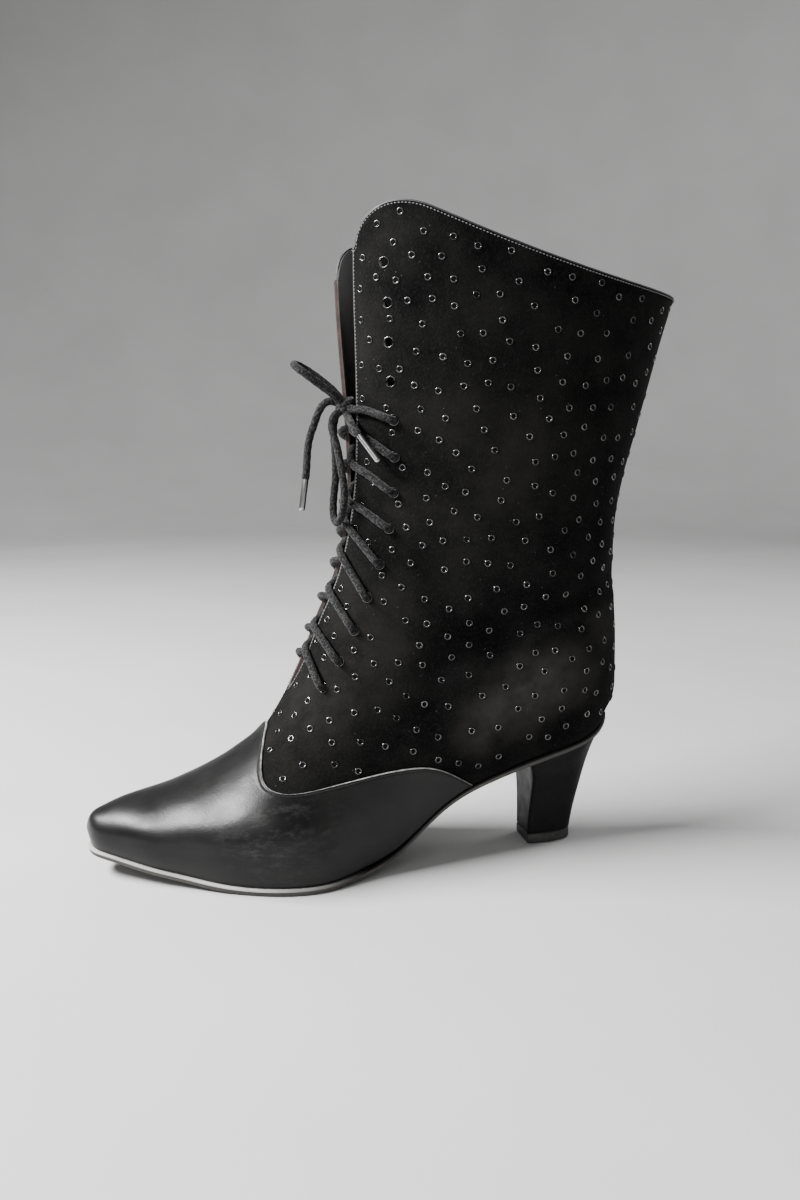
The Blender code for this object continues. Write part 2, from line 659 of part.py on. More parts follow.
heel_curve = natural_spline([row[0] for row in HEEL], np.array(HEEL)[:, 1:])
heel_base = TOP_PIECE_HEIGHT + GAP
heel_rings = []
for share_up in np.linspace(0.0, 1.0, 11):
    x, y = heel_ring(*heel_curve(share_up))
    z = heel_base + share_up * (seat_under(x) - GAP - heel_base)
    heel_rings.append(np.stack((x, y, z), axis=-1))
heel_block("heel", heel_rings, "heel_cover")

x, y = heel_ring(*heel_curve(0.0))
top_piece = [np.stack((x, y, np.full_like(x, z)), axis=-1) for z in (0.0, TOP_PIECE_HEIGHT)]
heel_block("heel_top_piece", top_piece, "rubber")


# Lace
def smooth_path(points, count):
    """Evenly spaced points on a smooth curve through a few points."""
    points = np.asarray(points, float)
    knots = np.concatenate(([0.0], np.cumsum(np.linalg.norm(np.diff(points, axis=0), axis=1))))
    return natural_spline(knots, points)(np.linspace(0.0, knots[-1], count))


def tube(name, path, diameter, finish, sides=6, collection=boot):
    """Round cord along a path with flat ends."""
    path = np.asarray(path, float)
    along = np.gradient(path, axis=0)
    along = along / np.linalg.norm(along, axis=1, keepdims=True)
    turns = np.linspace(0.0, 2.0 * math.pi, sides, endpoint=False)
    side_way = np.cross(along[0], (0.31, 0.87, 0.38))
    points = []
    for centre, way in zip(path, along):
        side_way = side_way - np.dot(side_way, way) * way
        side_way = side_way / np.linalg.norm(side_way)
        other = np.cross(way, side_way)
        ring = np.cos(turns)[:, None] * side_way + np.sin(turns)[:, None] * other
        points.extend(centre + ring * diameter / 2.0)
    faces = [(i * sides + j, i * sides + (j + 1) % sides, (i + 1) * sides + (j + 1) % sides, (i + 1) * sides + j)
             for i in range(len(path) - 1) for j in range(sides)]
    faces.append(tuple(range(sides))[::-1])
    faces.append(tuple(range((len(path) - 1) * sides, len(path) * sides)))
    return add_object(name, points, faces, finish, collection)


LACE_LIFT = LACE_DIAMETER / 2.0 + LACE_CLEAR
LACED_ROWS = range(12, 4, -1)
KNOT_ROW = 4
KNOT_SHY = 0.16


def lace_half(row, side, meet):
    """From a hole to its quarter's edge, which it meets a share of the way up to the next row."""
    station, around = hole_places[side][row]
    rise = meet * (hole_places[side][row - 1][0] - station)
    edge = float(throat_around(station + rise, side))
    return [lifted(station + rise * share, around + (edge - around) * share, side, LACE_LIFT)
            for share in (0.0, 0.5, 0.95)], station + rise


for number, row in enumerate(LACED_ROWS, 1):
    outer_meet, inner_meet = LACE_EDGES[number - 1]
    outer_half, outer_station = lace_half(row, 1, outer_meet)
    inner_half, inner_station = lace_half(row, -1, inner_meet)
    crossing = 0.5 * (outer_station + inner_station)
    middle = 0.5 * (lifted(crossing, 0.0, 1, LACE_DIP) + lifted(crossing, 0.0, -1, LACE_DIP))
    tube(f"lace_cross_{number}", smooth_path(outer_half + [middle] + inner_half[::-1], 14), LACE_DIAMETER, "cord")


def top_bar(side):
    """From the top laced hole over the quarter's edge to the side of the knot."""
    station, around = hole_places[side][KNOT_ROW]
    edge_station = station_of_top(KNOT_CENTRE[2])
    edge = float(throat_around(edge_station, side))
    middle = 0.5 * (station + edge_station)
    points = [lifted(station, around, side, LACE_LIFT),
              lifted(middle, 0.5 * (around + edge), side, LACE_LIFT),
              lifted(edge_station, edge + KNOT_SHY * (around - edge), side, LACE_LIFT)]
    return smooth_path(points, 6)


tube("lace_top_outer", top_bar(1), LACE_DIAMETER, "cord")
tube("lace_top_inner", top_bar(-1), LACE_DIAMETER, "cord")

knot_mesh = bmesh.new()
bmesh.ops.create_icosphere(knot_mesh, subdivisions=2, radius=1.0)
knot_points = [np.array(vertex.co) * KNOT_HALF + np.array(KNOT_CENTRE) for vertex in knot_mesh.verts]
knot_faces = [tuple(vertex.index for vertex in face.verts) for face in knot_mesh.faces]
knot_mesh.free()
add_object("lace_knot", knot_points, knot_faces, "cord")
tube("lace_loop_up", smooth_path(LOOP_UP, 15), LACE_DIAMETER, "cord")
tube("lace_loop_down", smooth_path(LOOP_DOWN, 19), LACE_DIAMETER, "cord")
tube("lace_end_left", smooth_path(END_LEFT, 9), LACE_DIAMETER, "cord")
tube("lace_end_right", smooth_path(END_RIGHT, 4), LACE_DIAMETER, "cord")
tube("aglet_left", smooth_path(AGLET_LEFT, 2), AGLET_DIAMETER, "metal", 8)
tube("aglet_right", smooth_path(AGLET_RIGHT, 2), AGLET_DIAMETER, "metal", 8)
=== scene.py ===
"""Looks of the left lace-up boot: pierced suede shaft, smooth vamp, thin sole and covered heel."""
import math

import bmesh
import bpy
import numpy as np
from mathutils import Matrix, Vector
from mathutils.bvhtree import BVHTree


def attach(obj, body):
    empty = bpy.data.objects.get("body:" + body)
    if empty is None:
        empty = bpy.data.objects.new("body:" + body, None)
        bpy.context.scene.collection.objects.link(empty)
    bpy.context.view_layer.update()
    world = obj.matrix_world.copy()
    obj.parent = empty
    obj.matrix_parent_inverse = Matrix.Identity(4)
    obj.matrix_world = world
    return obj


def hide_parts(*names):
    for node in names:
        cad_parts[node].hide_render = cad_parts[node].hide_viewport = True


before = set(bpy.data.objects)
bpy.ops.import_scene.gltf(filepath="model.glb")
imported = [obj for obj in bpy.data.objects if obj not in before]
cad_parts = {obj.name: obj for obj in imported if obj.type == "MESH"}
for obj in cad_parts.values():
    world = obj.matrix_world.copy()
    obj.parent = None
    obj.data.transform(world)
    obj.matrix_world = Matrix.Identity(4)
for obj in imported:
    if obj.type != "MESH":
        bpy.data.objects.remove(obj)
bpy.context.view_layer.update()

# Sizes are in millimetres and MM turns them into metres.
# X runs to the toe, +Y to the outer side of the left foot, Z up. Side 1 is the outer one, -1 the inner one.
MM = 0.001
SIDES = (1, -1)
WALL = 1.8
GAP = 0.35

# Camera of the photograph: focal length in pixels of the 800 by 1200 frame.
PHOTO_SIZE = (800, 1200)
FOCAL_PIXELS = 1100.0
CAMERA_PLACE = (177.9, 503.1, 204.0)
CAMERA_YAW = 11.5
CAMERA_PITCH = 9.04

# The last, as in the solids. Columns of the foot: top x and z, foot x and z, ridge y, lateral and medial half
# width, lateral and medial feather, widest place, turn under.
FOOT = (
    (221.6, 20.4, 219.6, 13.2, -1.5, 0.0, 0.0, 0.0, 0.0, 0.60, 55),
    (220.5, 24.7, 217.9, 12.9, -1.5, 7.2, 7.2, 6.0, 6.0, 0.60, 55),
    (216.0, 28.0, 212.4, 12.0, -1.6, 13.0, 13.0, 10.9, 10.9, 0.60, 55),
    (208.8, 30.8, 203.4, 10.2, -1.7, 18.6, 18.4, 16.2, 16.0, 0.60, 55),
    (199.8, 33.2, 192.2, 8.1, -1.9, 25.0, 24.2, 22.8, 22.2, 0.60, 55),
    (188.6, 35.8, 178.5, 6.0, -2.2, 31.5, 29.0, 29.6, 27.0, 0.60, 55),
    (177.6, 39.5, 164.5, 4.2, -2.6, 38.8, 32.5, 37.2, 30.4, 0.60, 55),
    (166.0, 44.7, 150.0, 3.3, -3.0, 45.2, 35.0, 43.6, 32.9, 0.61, 55),
    (154.6, 51.3, 134.5, 3.3, -3.3, 49.2, 36.0, 48.0, 33.2, 0.62, 55),
    (143.2, 59.6, 117.5, 3.4, -3.4, 48.6, 35.4, 46.8, 31.0, 0.63, 55),
    (134.8, 71.0, 100.5, 5.2, -3.2, 43.4, 34.0, 38.6, 27.6, 0.64, 55),
    (127.2, 85.0, 84.0, 10.8, -2.8, 39.5, 33.0, 32.4, 23.4, 0.64, 55),
    (120.8, 100.0, 68.0, 22.9, -2.4, 36.6, 32.4, 28.6, 19.4, 0.64, 55),
    (115.2, 116.0, 51.0, 34.7, -2.0, 34.8, 32.2, 26.4, 18.2, 0.64, 57),
    (109.1, 130.5, 31.5, 43.2, -1.5, 33.6, 32.0, 25.8, 20.6, 0.64, 62),
    (104.4, 146.5, 9.0, 51.0, -1.0, 32.9, 31.8, 26.0, 23.8, 0.64, 70),
    (101.5, 162.5, -12.8, 57.9, -0.5, 32.6, 32.0, 22.0, 21.3, 0.64, 80),
    (100.2, 173.0, -23.2, 62.2, -0.2, 32.6, 32.1, 11.6, 11.5, 0.64, 88),
    (99.4, 182.0, -26.9, 63.9, 0.0, 32.7, 32.3, 0.0, 0.0, 0.63, 90),
)
# Columns of the shaft: top x and z, back x and z, ridge y, lateral and medial half width, widest place.
SHAFT = (
    (99.2, 187.0, -30.1, 69.6, 0.0, 32.8, 32.4, 0.63),
    (98.8, 198.0, -31.6, 83.0, 0.0, 33.0, 32.7, 0.62),
    (98.6, 216.0, -30.6, 112.0, 0.0, 33.5, 33.2, 0.60),
    (98.8, 236.0, -28.8, 142.0, 0.0, 34.2, 34.0, 0.58),
    (99.2, 256.0, -30.6, 168.0, 0.0, 35.2, 35.0, 0.56),
    (99.4, 280.0, -38.2, 199.5, 0.0, 36.6, 36.4, 0.54),
    (99.2, 308.0, -46.8, 232.5, 0.0, 38.0, 37.8, 0.53),
    (99.0, 340.0, -56.8, 266.5, 0.0, 39.0, 38.8, 0.52),
    (99.0, 374.0, -67.0, 300.0, 0.0, 39.6, 39.4, 0.52),
)
MEDIAL_LEAD = 6.5
LEAD_FROM_Z = 138.0
LEAD_TO_Z = 272.0
THROAT_FOOT_Z = 82.0
THROAT_HALF = {1: 6.4, -1: 6.5}
THROAT_OPENING_RUN = 40.0
COLLAR_BACK_X = -55.0
COLLAR_BACK_Z = 262.5
COLLAR_SLOPE = 0.085
COLLAR_LIFT = 0.00152
COLLAR_FRONT_X = 97.5
COLLAR_CORNER = 30.0
COLLAR_MEDIAL_DROP = 16.0
LACE_PUNCH = 2.05
LACE_HOLES = (
    (86.9, 273.4), (85.4, 256.4), (84.9, 239.7), (83.9, 222.8), (82.6, 206.2),
    (82.2, 190.0), (82.7, 174.2), (84.6, 158.2), (88.9, 142.0), (94.6, 127.1),
    (100.8, 112.4), (108.0, 98.6), (115.4, 86.6),
)
VAMP_EDGE = (
    (137.7, 66.6), (139.9, 62.3), (142.3, 56.5), (143.7, 50.6), (142.6, 46.0), (138.1, 43.7),
    (130.6, 43.2), (117.3, 44.8), (99.0, 48.1), (80.6, 50.3), (66.1, 49.1), (53.4, 42.7), (44.0, 36.2),
)
VAMP_CLEAR = 0.25
VAMP_THICKNESS = 1.2
VAMP_LOWEST = 0.985
TONGUE_THICKNESS = 1.6
TONGUE_CLEAR = 4.2
TONGUE_HALF = 21.0
TONGUE_FOOT_Z = 63.0
TONGUE_TOP_Z = 268.0
SOLE_THICKNESS = 3.0
SOLE_LEDGE_FOREFOOT = 2.9
SOLE_LEDGE_WAIST = 0.9
INSOLE_THICKNESS = 2.0
INSOLE_INSET = 3.2
# Columns of the heel: share up, breast x, back x, half width.
HEEL = (
    (0.00, 13.4, -10.8, 9.4),
    (0.20, 13.2, -12.5, 10.2),
    (0.45, 12.9, -15.4, 12.4),
    (0.70, 13.3, -18.6, 16.2),
    (0.86, 14.8, -21.4, 20.0),
    (1.00, 17.0, -25.0, 22.8),
)
HEEL_ROUNDNESS = 2.4
TOP_PIECE_HEIGHT = 5.0
LACE_DIAMETER = 3.5
# Where each laced row's strands cross their quarters' edges, in shares of the way up to the next row.
LACE_EDGES = (
    (0.38, 0.10), (0.14, -0.06), (0.32, -0.02), (0.50, 0.12),
    (0.32, 0.05), (-0.10, -0.20), (-0.08, -0.20), (-0.10, -0.20),
)
KNOT_CENTRE = (101.4, 2.4, 212.4)
LOOP_UP = (
    (104.6, -1.8, 217.8), (109.2, -3.2, 222.3), (114.8, -4.0, 226.6), (119.6, -3.9, 229.6),
    (122.8, -2.2, 230.9), (124.2, 0.8, 230.7), (122.9, 3.9, 229.0), (119.4, 5.5, 226.3),
    (114.8, 5.6, 222.9), (110.4, 5.4, 219.8), (106.4, 5.0, 216.8),
)
LOOP_DOWN = (
    (106.6, 4.8, 208.2), (108.0, 5.2, 204.4), (106.6, 6.6, 196.8), (104.8, 9.0, 186.6),
    (103.6, 11.2, 176.5), (104.0, 11.6, 167.2), (105.1, 10.2, 162.2), (106.3, 6.5, 160.0),
    (107.0, 2.8, 162.0), (107.1, 1.2, 166.8), (106.7, 1.2, 172.6), (106.0, 1.2, 178.8),
    (105.8, 1.2, 186.4), (106.2, 0.6, 196.0), (106.2, 0.2, 205.2),
)
END_LEFT = (
    (109.2, 0.9, 214.4), (112.6, 1.2, 211.2), (115.4, 1.5, 204.6), (117.6, 1.8, 198.4),
    (118.8, 2.0, 191.6), (119.5, 2.0, 182.2),
)
AGLET_LEFT = ((119.6, 2.0, 181.7), (121.8, 2.0, 165.3))
END_RIGHT = ((100.6, 8.4, 206.6), (100.2, 12.4, 204.6), (98.8, 15.6, 201.7))
AGLET_RIGHT = ((98.5, 16.0, 201.3), (89.8, 23.6, 187.9))
AGLET_DIAMETER = 2.9

# Soft folds of the suede: line in side view, half width, rise.
FOLDS = (
    ("ankle hollow", ((-22.0, 130.5), (4.0, 121.0), (32.0, 109.0), (62.0, 95.0)), 8.0, -3.0),
    ("counter edge", ((-26.0, 124.0), (-4.0, 118.0), (12.0, 112.0), (24.0, 104.0)), 3.6, 1.4),
    ("counter swell", ((-10.0, 97.0), (10.0, 88.0), (34.0, 74.0), (48.0, 62.0)), 12.0, 1.7),
    ("ankle swell", ((40.0, 126.0), (62.0, 117.0)), 10.0, 1.3),
    ("second hollow", ((52.0, 84.0), (74.0, 76.0)), 8.0, -0.9),
    ("instep fold", ((66.0, 97.0), (92.0, 84.0)), 7.0, -0.7),
    ("shaft hollow", ((-8.0, 148.0), (-12.0, 182.0)), 11.0, -1.0),
    ("shaft wave", ((10.0, 200.0), (52.0, 180.0)), 13.0, 0.6),
)
# Nap of the suede by place, with painted light and shade: lighter patches on the swells and at the front where
# the suede faces the light (rubbed nap and painted light), darker ones in the hollows and creases (painted
# shade); full within, gone at, strength, colour.
RUBBED_AND_LIT = (0.040, 0.038, 0.035)
SHADED = (0.0018, 0.0018, 0.0019)
NAP_LIGHT_AND_SHADE_PLACES = (
    ((127.0, 33.0, 76.0), 8.0, 40.0, 0.22, RUBBED_AND_LIT),
    ((98.0, 33.0, 108.0), 8.0, 40.0, 0.18, RUBBED_AND_LIT),
    ((22.0, 30.0, 81.0), 5.0, 24.0, 0.90, RUBBED_AND_LIT),
    ((42.0, 33.0, 68.0), 4.0, 20.0, 0.75, RUBBED_AND_LIT),
    ((4.0, 27.0, 90.0), 4.0, 22.0, 0.70, RUBBED_AND_LIT),
    ((-16.0, 20.0, 113.0), 3.0, 15.0, 0.55, RUBBED_AND_LIT),
    ((30.0, 34.0, 190.0), 10.0, 60.0, 0.12, RUBBED_AND_LIT),
    ((-20.0, 18.0, 160.0), 8.0, 34.0, 0.65, SHADED),
    ((-16.0, 20.0, 133.0), 6.0, 20.0, 0.85, SHADED),
    ((13.0, 31.0, 121.0), 5.0, 18.0, 0.90, SHADED),
    ((39.0, 33.0, 110.0), 5.0, 17.0, 0.80, SHADED),
    ((63.0, 33.0, 98.0), 4.0, 17.0, 0.55, SHADED),
    ((62.0, 33.0, 75.0), 5.0, 20.0, 0.50, SHADED),
    ((2.0, 24.0, 60.0), 4.0, 17.0, 0.75, SHADED),
    ((33.0, 28.0, 46.0), 3.0, 15.0, 0.60, SHADED),
)
# Flex marks of the vamp, with the same columns as the folds.
FLEX_MARKS = (
    ("tread line", ((172.0, 20.0), (164.0, 36.0), (156.0, 46.0)), 5.5, -0.35),
    ("ball swell", ((150.0, 24.0), (140.0, 38.0)), 9.0, 0.25),
    ("wing hollow", ((118.0, 24.0), (112.0, 38.0)), 8.0, -0.3),
)

SCUFF_PLACE = (138.0, 44.0, 30.0)
EDGE_STEPS = np.array([0.0, 0.12, 0.35, 0.7, 1.1, 1.5, 1.9, 2.4, 3.2, 4.2, 5.6])
STITCH_IN = 1.5
VAMP_STITCH_IN = 1.25
EYELET_OUTER = 1.66
EYELET_SPACING = 9.2
LACE_EYELET_OUTER = 2.55
LINING_DEPTH = 0.98
WAVE_HEIGHT = 0.22
PALE_EDGE_FROM = 98.0
PALE_EDGE_FULL = 150.0


# Smooth curves through table rows
def arc_lengths(points):
    return np.concatenate(([0.0], np.cumsum(np.linalg.norm(np.diff(points, axis=0), axis=1))))


def natural_spline(knots, values):
    """Return a smooth function of the knots' variable through the rows of values."""
    knots = np.asarray(knots, float)
    values = np.asarray(values, float)
    gap = np.diff(knots)
    system = np.eye(len(knots))
    right = np.zeros_like(values)
    for i in range(1, len(knots) - 1):
        system[i, i - 1:i + 2] = gap[i - 1], 2.0 * (gap[i - 1] + gap[i]), gap[i]
        rise_after = (values[i + 1] - values[i]) / gap[i]
        rise_before = (values[i] - values[i - 1]) / gap[i - 1]
        right[i] = 6.0 * (rise_after - rise_before)
    bend = np.linalg.solve(system, right)

    def at(place):
        place = np.asarray(place, float)
        i = np.clip(np.searchsorted(knots, place) - 1, 0, len(knots) - 2)
        before = ((knots[i + 1] - place) / gap[i])[..., None]
        after = 1.0 - before
        reach = (gap[i] ** 2 / 6.0)[..., None]
        straight = before * values[i] + after * values[i + 1]
        curved = (before ** 3 - before) * bend[i] + (after ** 3 - after) * bend[i + 1]
        return straight + curved * reach

    return at


def mirrored(knots, values, signs, at_end):
    """Extend rows past an end by their mirror image so that the form closes round."""
    picks = (-2, -3) if at_end else (2, 1)
    edge = knots[-1] if at_end else knots[0]
    extra_knots = [2.0 * edge - knots[i] for i in picks]
    extra_values = [values[i] * signs for i in picks]
    if at_end:
        return np.concatenate((knots, extra_knots)), np.vstack((values, extra_values))
    return np.concatenate((extra_knots, knots)), np.vstack((extra_values, values))


foot_rows = np.array(FOOT, float)
shaft_rows = np.array(SHAFT, float)
foot_knots = 0.5 * (arc_lengths(foot_rows[:, 0:2]) + arc_lengths(foot_rows[:, [2, 3, 7]]))
HEEL_STATION = foot_knots[-1]
seam_rows = np.vstack((foot_rows[-1:, 2:4], shaft_rows[:, 2:4]))
top_rows = np.vstack((foot_rows[-1:, 0:2], shaft_rows[:, 0:2]))
shaft_knots = HEEL_STATION + 0.5 * (arc_lengths(top_rows) + arc_lengths(seam_rows))
TOP_STATION = shaft_knots[-1]
body_rows = np.vstack((foot_rows[:, [0, 1, 4, 5, 6, 9]], shaft_rows[:, [0, 1, 4, 5, 6, 7]]))
body_knots = np.concatenate((foot_knots, shaft_knots[1:]))
body_at = natural_spline(*mirrored(body_knots, body_rows, np.array([1, 1, 1, -1, -1, 1]), False))
edge_signs = np.array([1, 1, -1, -1, 1])
edge_knots, edge_rows = mirrored(foot_knots, foot_rows[:, [2, 3, 7, 8, 10]], edge_signs, False)
edge_at = natural_spline(*mirrored(edge_knots, edge_rows, edge_signs, True))
seam_at = natural_spline(shaft_knots, seam_rows)


def ease(value, start, end):
    share = np.clip((value - start) / (end - start), 0.0, 1.0)
    return share * share * (3.0 - 2.0 * share)


def unit(ways):
    return ways / np.linalg.norm(ways, axis=-1, keepdims=True)


def section(station, side, lead=True):
    """Sizes of the section at a station: top, bottom, ridge, half width, feather, widest, turn."""
    station = np.asarray(station, float)
    body = body_at(np.clip(station, 0.0, TOP_STATION))
    edge = edge_at(np.clip(station, 0.0, HEEL_STATION))
    seam = seam_at(np.clip(station, HEEL_STATION, TOP_STATION))
    up_the_back = (station > HEEL_STATION)[..., None]
    top = body[..., 0:2].copy()
    if lead and side < 0:
        top[..., 0] += MEDIAL_LEAD * ease(top[..., 1], LEAD_FROM_Z, LEAD_TO_Z)
    bottom = np.where(up_the_back, seam, edge[..., 0:2])
    feather = np.where(up_the_back[..., 0], 0.0, edge[..., 2 if side > 0 else 3])
    turn = np.where(up_the_back[..., 0], 90.0, edge[..., 4])
    width = body[..., 3 if side > 0 else 4]
    return top, bottom, body[..., 2], width, np.maximum(feather, 0.0), body[..., 5], np.radians(turn)


def skin(station, around, side, lead=True):
    """Point of the upper's outer skin; around is 0 on the ridge and 1 at feather or back seam."""
    around = np.asarray(around, float)
    top, bottom, ridge, width, feather, widest, turn = section(station, side, lead)
    above = np.minimum(around, 0.5) * math.pi
    below = np.maximum(around - 0.5, 0.0) * 2.0 * turn
    down = widest * (1.0 - np.cos(above)) + (1.0 - widest) * np.sin(below) / np.sin(turn)
    tuck = (1.0 - np.cos(below)) / (1.0 - np.cos(turn))
    out = np.where(around < 0.5, width * np.sin(above), width - (width - feather) * tuck)
    flat = top + down[..., None] * (bottom - top)
    return np.stack((flat[..., 0], ridge + side * out, flat[..., 1]), axis=-1)


def outward(station, around, side, lead=True):
    """Way out of the skin; level where the skin turns under, and in the mid plane on the seams."""
    station = np.asarray(station, float)
    around = np.asarray(around, float)
    near = np.clip(station, 1.0, TOP_STATION - 1.0)
    inner = np.clip(around, 0.004, 0.996)
    along = skin(near + 0.4, inner, side, lead) - skin(near - 0.4, inner, side, lead)
    across = skin(near, inner + 0.003, side, lead) - skin(near, inner - 0.003, side, lead)
    normal = np.cross(across, along) * side
    on_seam = (around < 0.001) | ((around > 0.999) & (station >= HEEL_STATION))
    normal = unit(normal * np.where(on_seam[..., None], (1.0, 0.0, 1.0), (1.0, 1.0, 1.0)))
    level = normal[..., 0:1] ** 2 + normal[..., 1:2] ** 2
    flat = normal * (1.0, 1.0, 0.0) / np.maximum(level, 0.4)
    return np.where(normal[..., 2:3] < 0.0, flat, normal)


def lifted(station, around, side, lift, lead=True):
    lift = np.asarray(lift, float)[..., None]
    return skin(station, around, side, lead) + lift * outward(station, around, side, lead)


def find(x, z, side):
    """Station and around of the skin point that is seen at x, z from the side."""
    stations = np.linspace(0.5, TOP_STATION, 4000)
    top, bottom, _, _, _, widest, turn = section(stations, side)
    chord = bottom - top
    off = np.array([x, z]) - top
    turned = chord[:, 0] * off[:, 1] - chord[:, 1] * off[:, 0]
    i = int(np.argmax(turned < 0.0)) if turned[0] > 0.0 else int(np.argmax(turned > 0.0))
    share = turned[i - 1] / (turned[i - 1] - turned[i])
    station = stations[i - 1] + share * (stations[i] - stations[i - 1])
    down = float(np.dot(off[i], chord[i]) / np.dot(chord[i], chord[i]))
    down = min(max(down, 0.0), 1.0)
    if down < widest[i]:
        return station, math.acos(1.0 - down / widest[i]) / math.pi
    lower = (down - widest[i]) / (1.0 - widest[i]) * math.sin(turn[i])
    return station, 0.5 + math.asin(min(lower, 1.0)) / (2.0 * turn[i])


def station_of_top(z):
    stations = np.linspace(0.0, TOP_STATION, 4000)
    return float(np.interp(z, body_at(stations)[:, 1], stations))


THROAT_STATION = station_of_top(THROAT_FOOT_Z)


def throat_around(station, side):
    """Around of the throat edge at a station, 0 below the slit."""
    run = np.clip((station - THROAT_STATION) / THROAT_OPENING_RUN, 0.0, 1.0)
    half = THROAT_HALF[side] * np.sqrt(run * (2.0 - run))
    width = body_at(station)[..., 3 if side > 0 else 4]
    return np.arcsin(half / np.maximum(width, half + 0.1)) / math.pi


def collar_height(x, side):
    front = COLLAR_FRONT_X + (MEDIAL_LEAD if side < 0 else 0.0)
    back = x - COLLAR_BACK_X
    line = COLLAR_BACK_Z + COLLAR_SLOPE * back + COLLAR_LIFT * back * back
    into_corner = np.clip((x - front + COLLAR_CORNER) / COLLAR_CORNER, 0.0, 1.0)
    line = line - COLLAR_CORNER * (1.0 - np.sqrt(1.0 - into_corner ** 2))
    if side < 0:
        line = line - COLLAR_MEDIAL_DROP * ease(x, COLLAR_BACK_X, 60.0)
    return line


def collar_station(around_of, side, drop):
    """Station at which a column meets a line that lies drop below the collar."""
    low = HEEL_STATION + 20.0
    high = TOP_STATION
    for _ in range(32):
        middle = 0.5 * (low + high)
        point = skin(middle, around_of(middle), side)
        if point[2] > collar_height(point[0], side) - drop:
            high = middle
        else:
            low = middle
    return 0.5 * (low + high)


# Meshes
def tidy_mesh(mesh, weld):
    work = bmesh.new()
    work.from_mesh(mesh)
    bmesh.ops.remove_doubles(work, verts=work.verts, dist=weld * MM)
    bmesh.ops.dissolve_degenerate(work, edges=work.edges, dist=0.001 * MM)
    bmesh.ops.recalc_face_normals(work, faces=work.faces)
    work.to_mesh(mesh)
    work.free()


def new_object(name, points, faces, tags=None, finishes=(), weld=0.004):
    """A smooth mesh object from points in millimetres; tags choose among finishes, face by face."""
    mesh = bpy.data.meshes.new(name)
    mesh.from_pydata((np.asarray(points) * MM).tolist(), [], [tuple(face) for face in faces])
    for finish in finishes:
        mesh.materials.append(finish)
    if tags is not None:
        mesh.polygons.foreach_set("material_index", tags)
    if weld:
        tidy_mesh(mesh, weld)
    mesh.shade_smooth()
    made = bpy.data.objects.new(name, mesh)
    bpy.context.scene.collection.objects.link(made)
    return made


def add_piece(name, shape, finishes, stands_for=(), weld=0.0, sharp=None):
    """A piece on the boot's body; its shape is points, faces and, with several finishes, face tags."""
    finishes = finishes if isinstance(finishes, tuple) else (finishes,)
    made = new_object(name, *shape, finishes=finishes, weld=weld)
    if sharp:
        made.data.set_sharp_from_angle(angle=math.radians(sharp))
    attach(made, "root")
    if stands_for:
        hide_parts(*stands_for)
    return made


def grid_faces(rows, columns, first=0):
    a = (first + np.arange(rows - 1)[:, None] * columns + np.arange(columns - 1)[None, :]).ravel()
    return np.stack((a, a + 1, a + columns + 1, a + columns), axis=1).tolist()


def band_faces(levels, sides):
    """Faces between rings of points, which follow each other in the order of levels."""
    i = np.arange(sides)
    after = (i + 1) % sides
    bands = [np.stack((low * sides + i, low * sides + after, high * sides + after, high * sides + i), axis=1)
             for low, high in zip(levels, levels[1:])]
    return np.concatenate(bands).tolist()


def tube_faces(levels, sides):
    last = (levels - 1) * sides
    return band_faces(range(levels), sides) + [range(sides)[::-1], range(last, last + sides)]


def circle(first, second, sides):
    """Unit circle of points in the plane of two ways."""
    turns = np.linspace(0.0, 2.0 * math.pi, sides, endpoint=False)
    return np.cos(turns)[:, None] * first + np.sin(turns)[:, None] * second


def stacked(rings, ends=None):
    """Points and faces of stacked rings, closed by an end point each, else by the middle of the ring."""
    count = len(rings[0])
    ends = ends or (rings[0].mean(axis=0), rings[-1].mean(axis=0))
    faces = band_faces(range(len(rings)), count)
    last = (len(rings) - 1) * count
    for i in range(count):
        after = (i + 1) % count
        faces += [(last + count, after, i), (last + count + 1, last + i, last + after)]
    return np.concatenate((*rings, ends)), faces


def turned_rings(places, profile, radius, closed=True, sides=20):
    """Rings turned from a profile at places with their ways out; open ones are capped at both ends."""
    levels = len(profile)
    faces = band_faces([*range(levels), 0], sides) if closed else tube_faces(levels, sides)
    parts = []
    for centre, out in places:
        first = unit(np.cross(out, (0.0, 0.0, 1.0)))
        ring = radius * circle(first, np.cross(out, first), sides)
        rings = [centre + ring * share + out * height for share, height in profile]
        parts.append((np.concatenate(rings), faces))
    return joined(parts)


def joined(parts):
    """Points and faces of several parts as one shape."""
    points, faces = [], []
    for part_points, part_faces in parts:
        faces += [[len(points) + i for i in face] for face in part_faces]
        points.extend(part_points)
    return points, faces


def closed_sheets(pairs, rim_tags=(0, 0, 0, 0)):
    """Shape of pairs of equal grids, outer and inner, closed along their rims.

    The tags are for the faces along first row, last column, last row and first column; None leaves a rim open.
    """
    points, faces, tags = [], [], []
    for outer, inner in pairs:
        rows, columns = outer.shape[:2]
        first = len(points)
        second = first + rows * columns
        points.extend([*outer.reshape(-1, 3), *inner.reshape(-1, 3)])
        faces += grid_faces(rows, columns, first)
        faces += [face[::-1] for face in grid_faces(rows, columns, second)]
        tags += [0] * (2 * (rows - 1) * (columns - 1))
        grid = np.arange(rows * columns).reshape(rows, columns)
        rims = (grid[0], grid[:, -1], grid[-1, ::-1], grid[::-1, 0])
        for rim, tag in zip(rims, rim_tags):
            if tag is not None:
                steps = zip(rim[:-1].tolist(), rim[1:].tolist())
                faces += [(first + a, second + a, second + b, first + b) for a, b in steps]
                tags += [tag] * (len(rim) - 1)
    return points, faces, tags


def read_along(at, run, points):
    """Points read from a line of points at lengths along it."""
    return np.stack([np.interp(at, run, points[:, k]) for k in range(points.shape[1])], axis=-1)


def evenly(points, step):
    """Points every step or so along a line of points."""
    run = arc_lengths(points)
    return read_along(np.linspace(0.0, run[-1], max(2, int(round(run[-1] / step)) + 1)), run, points)


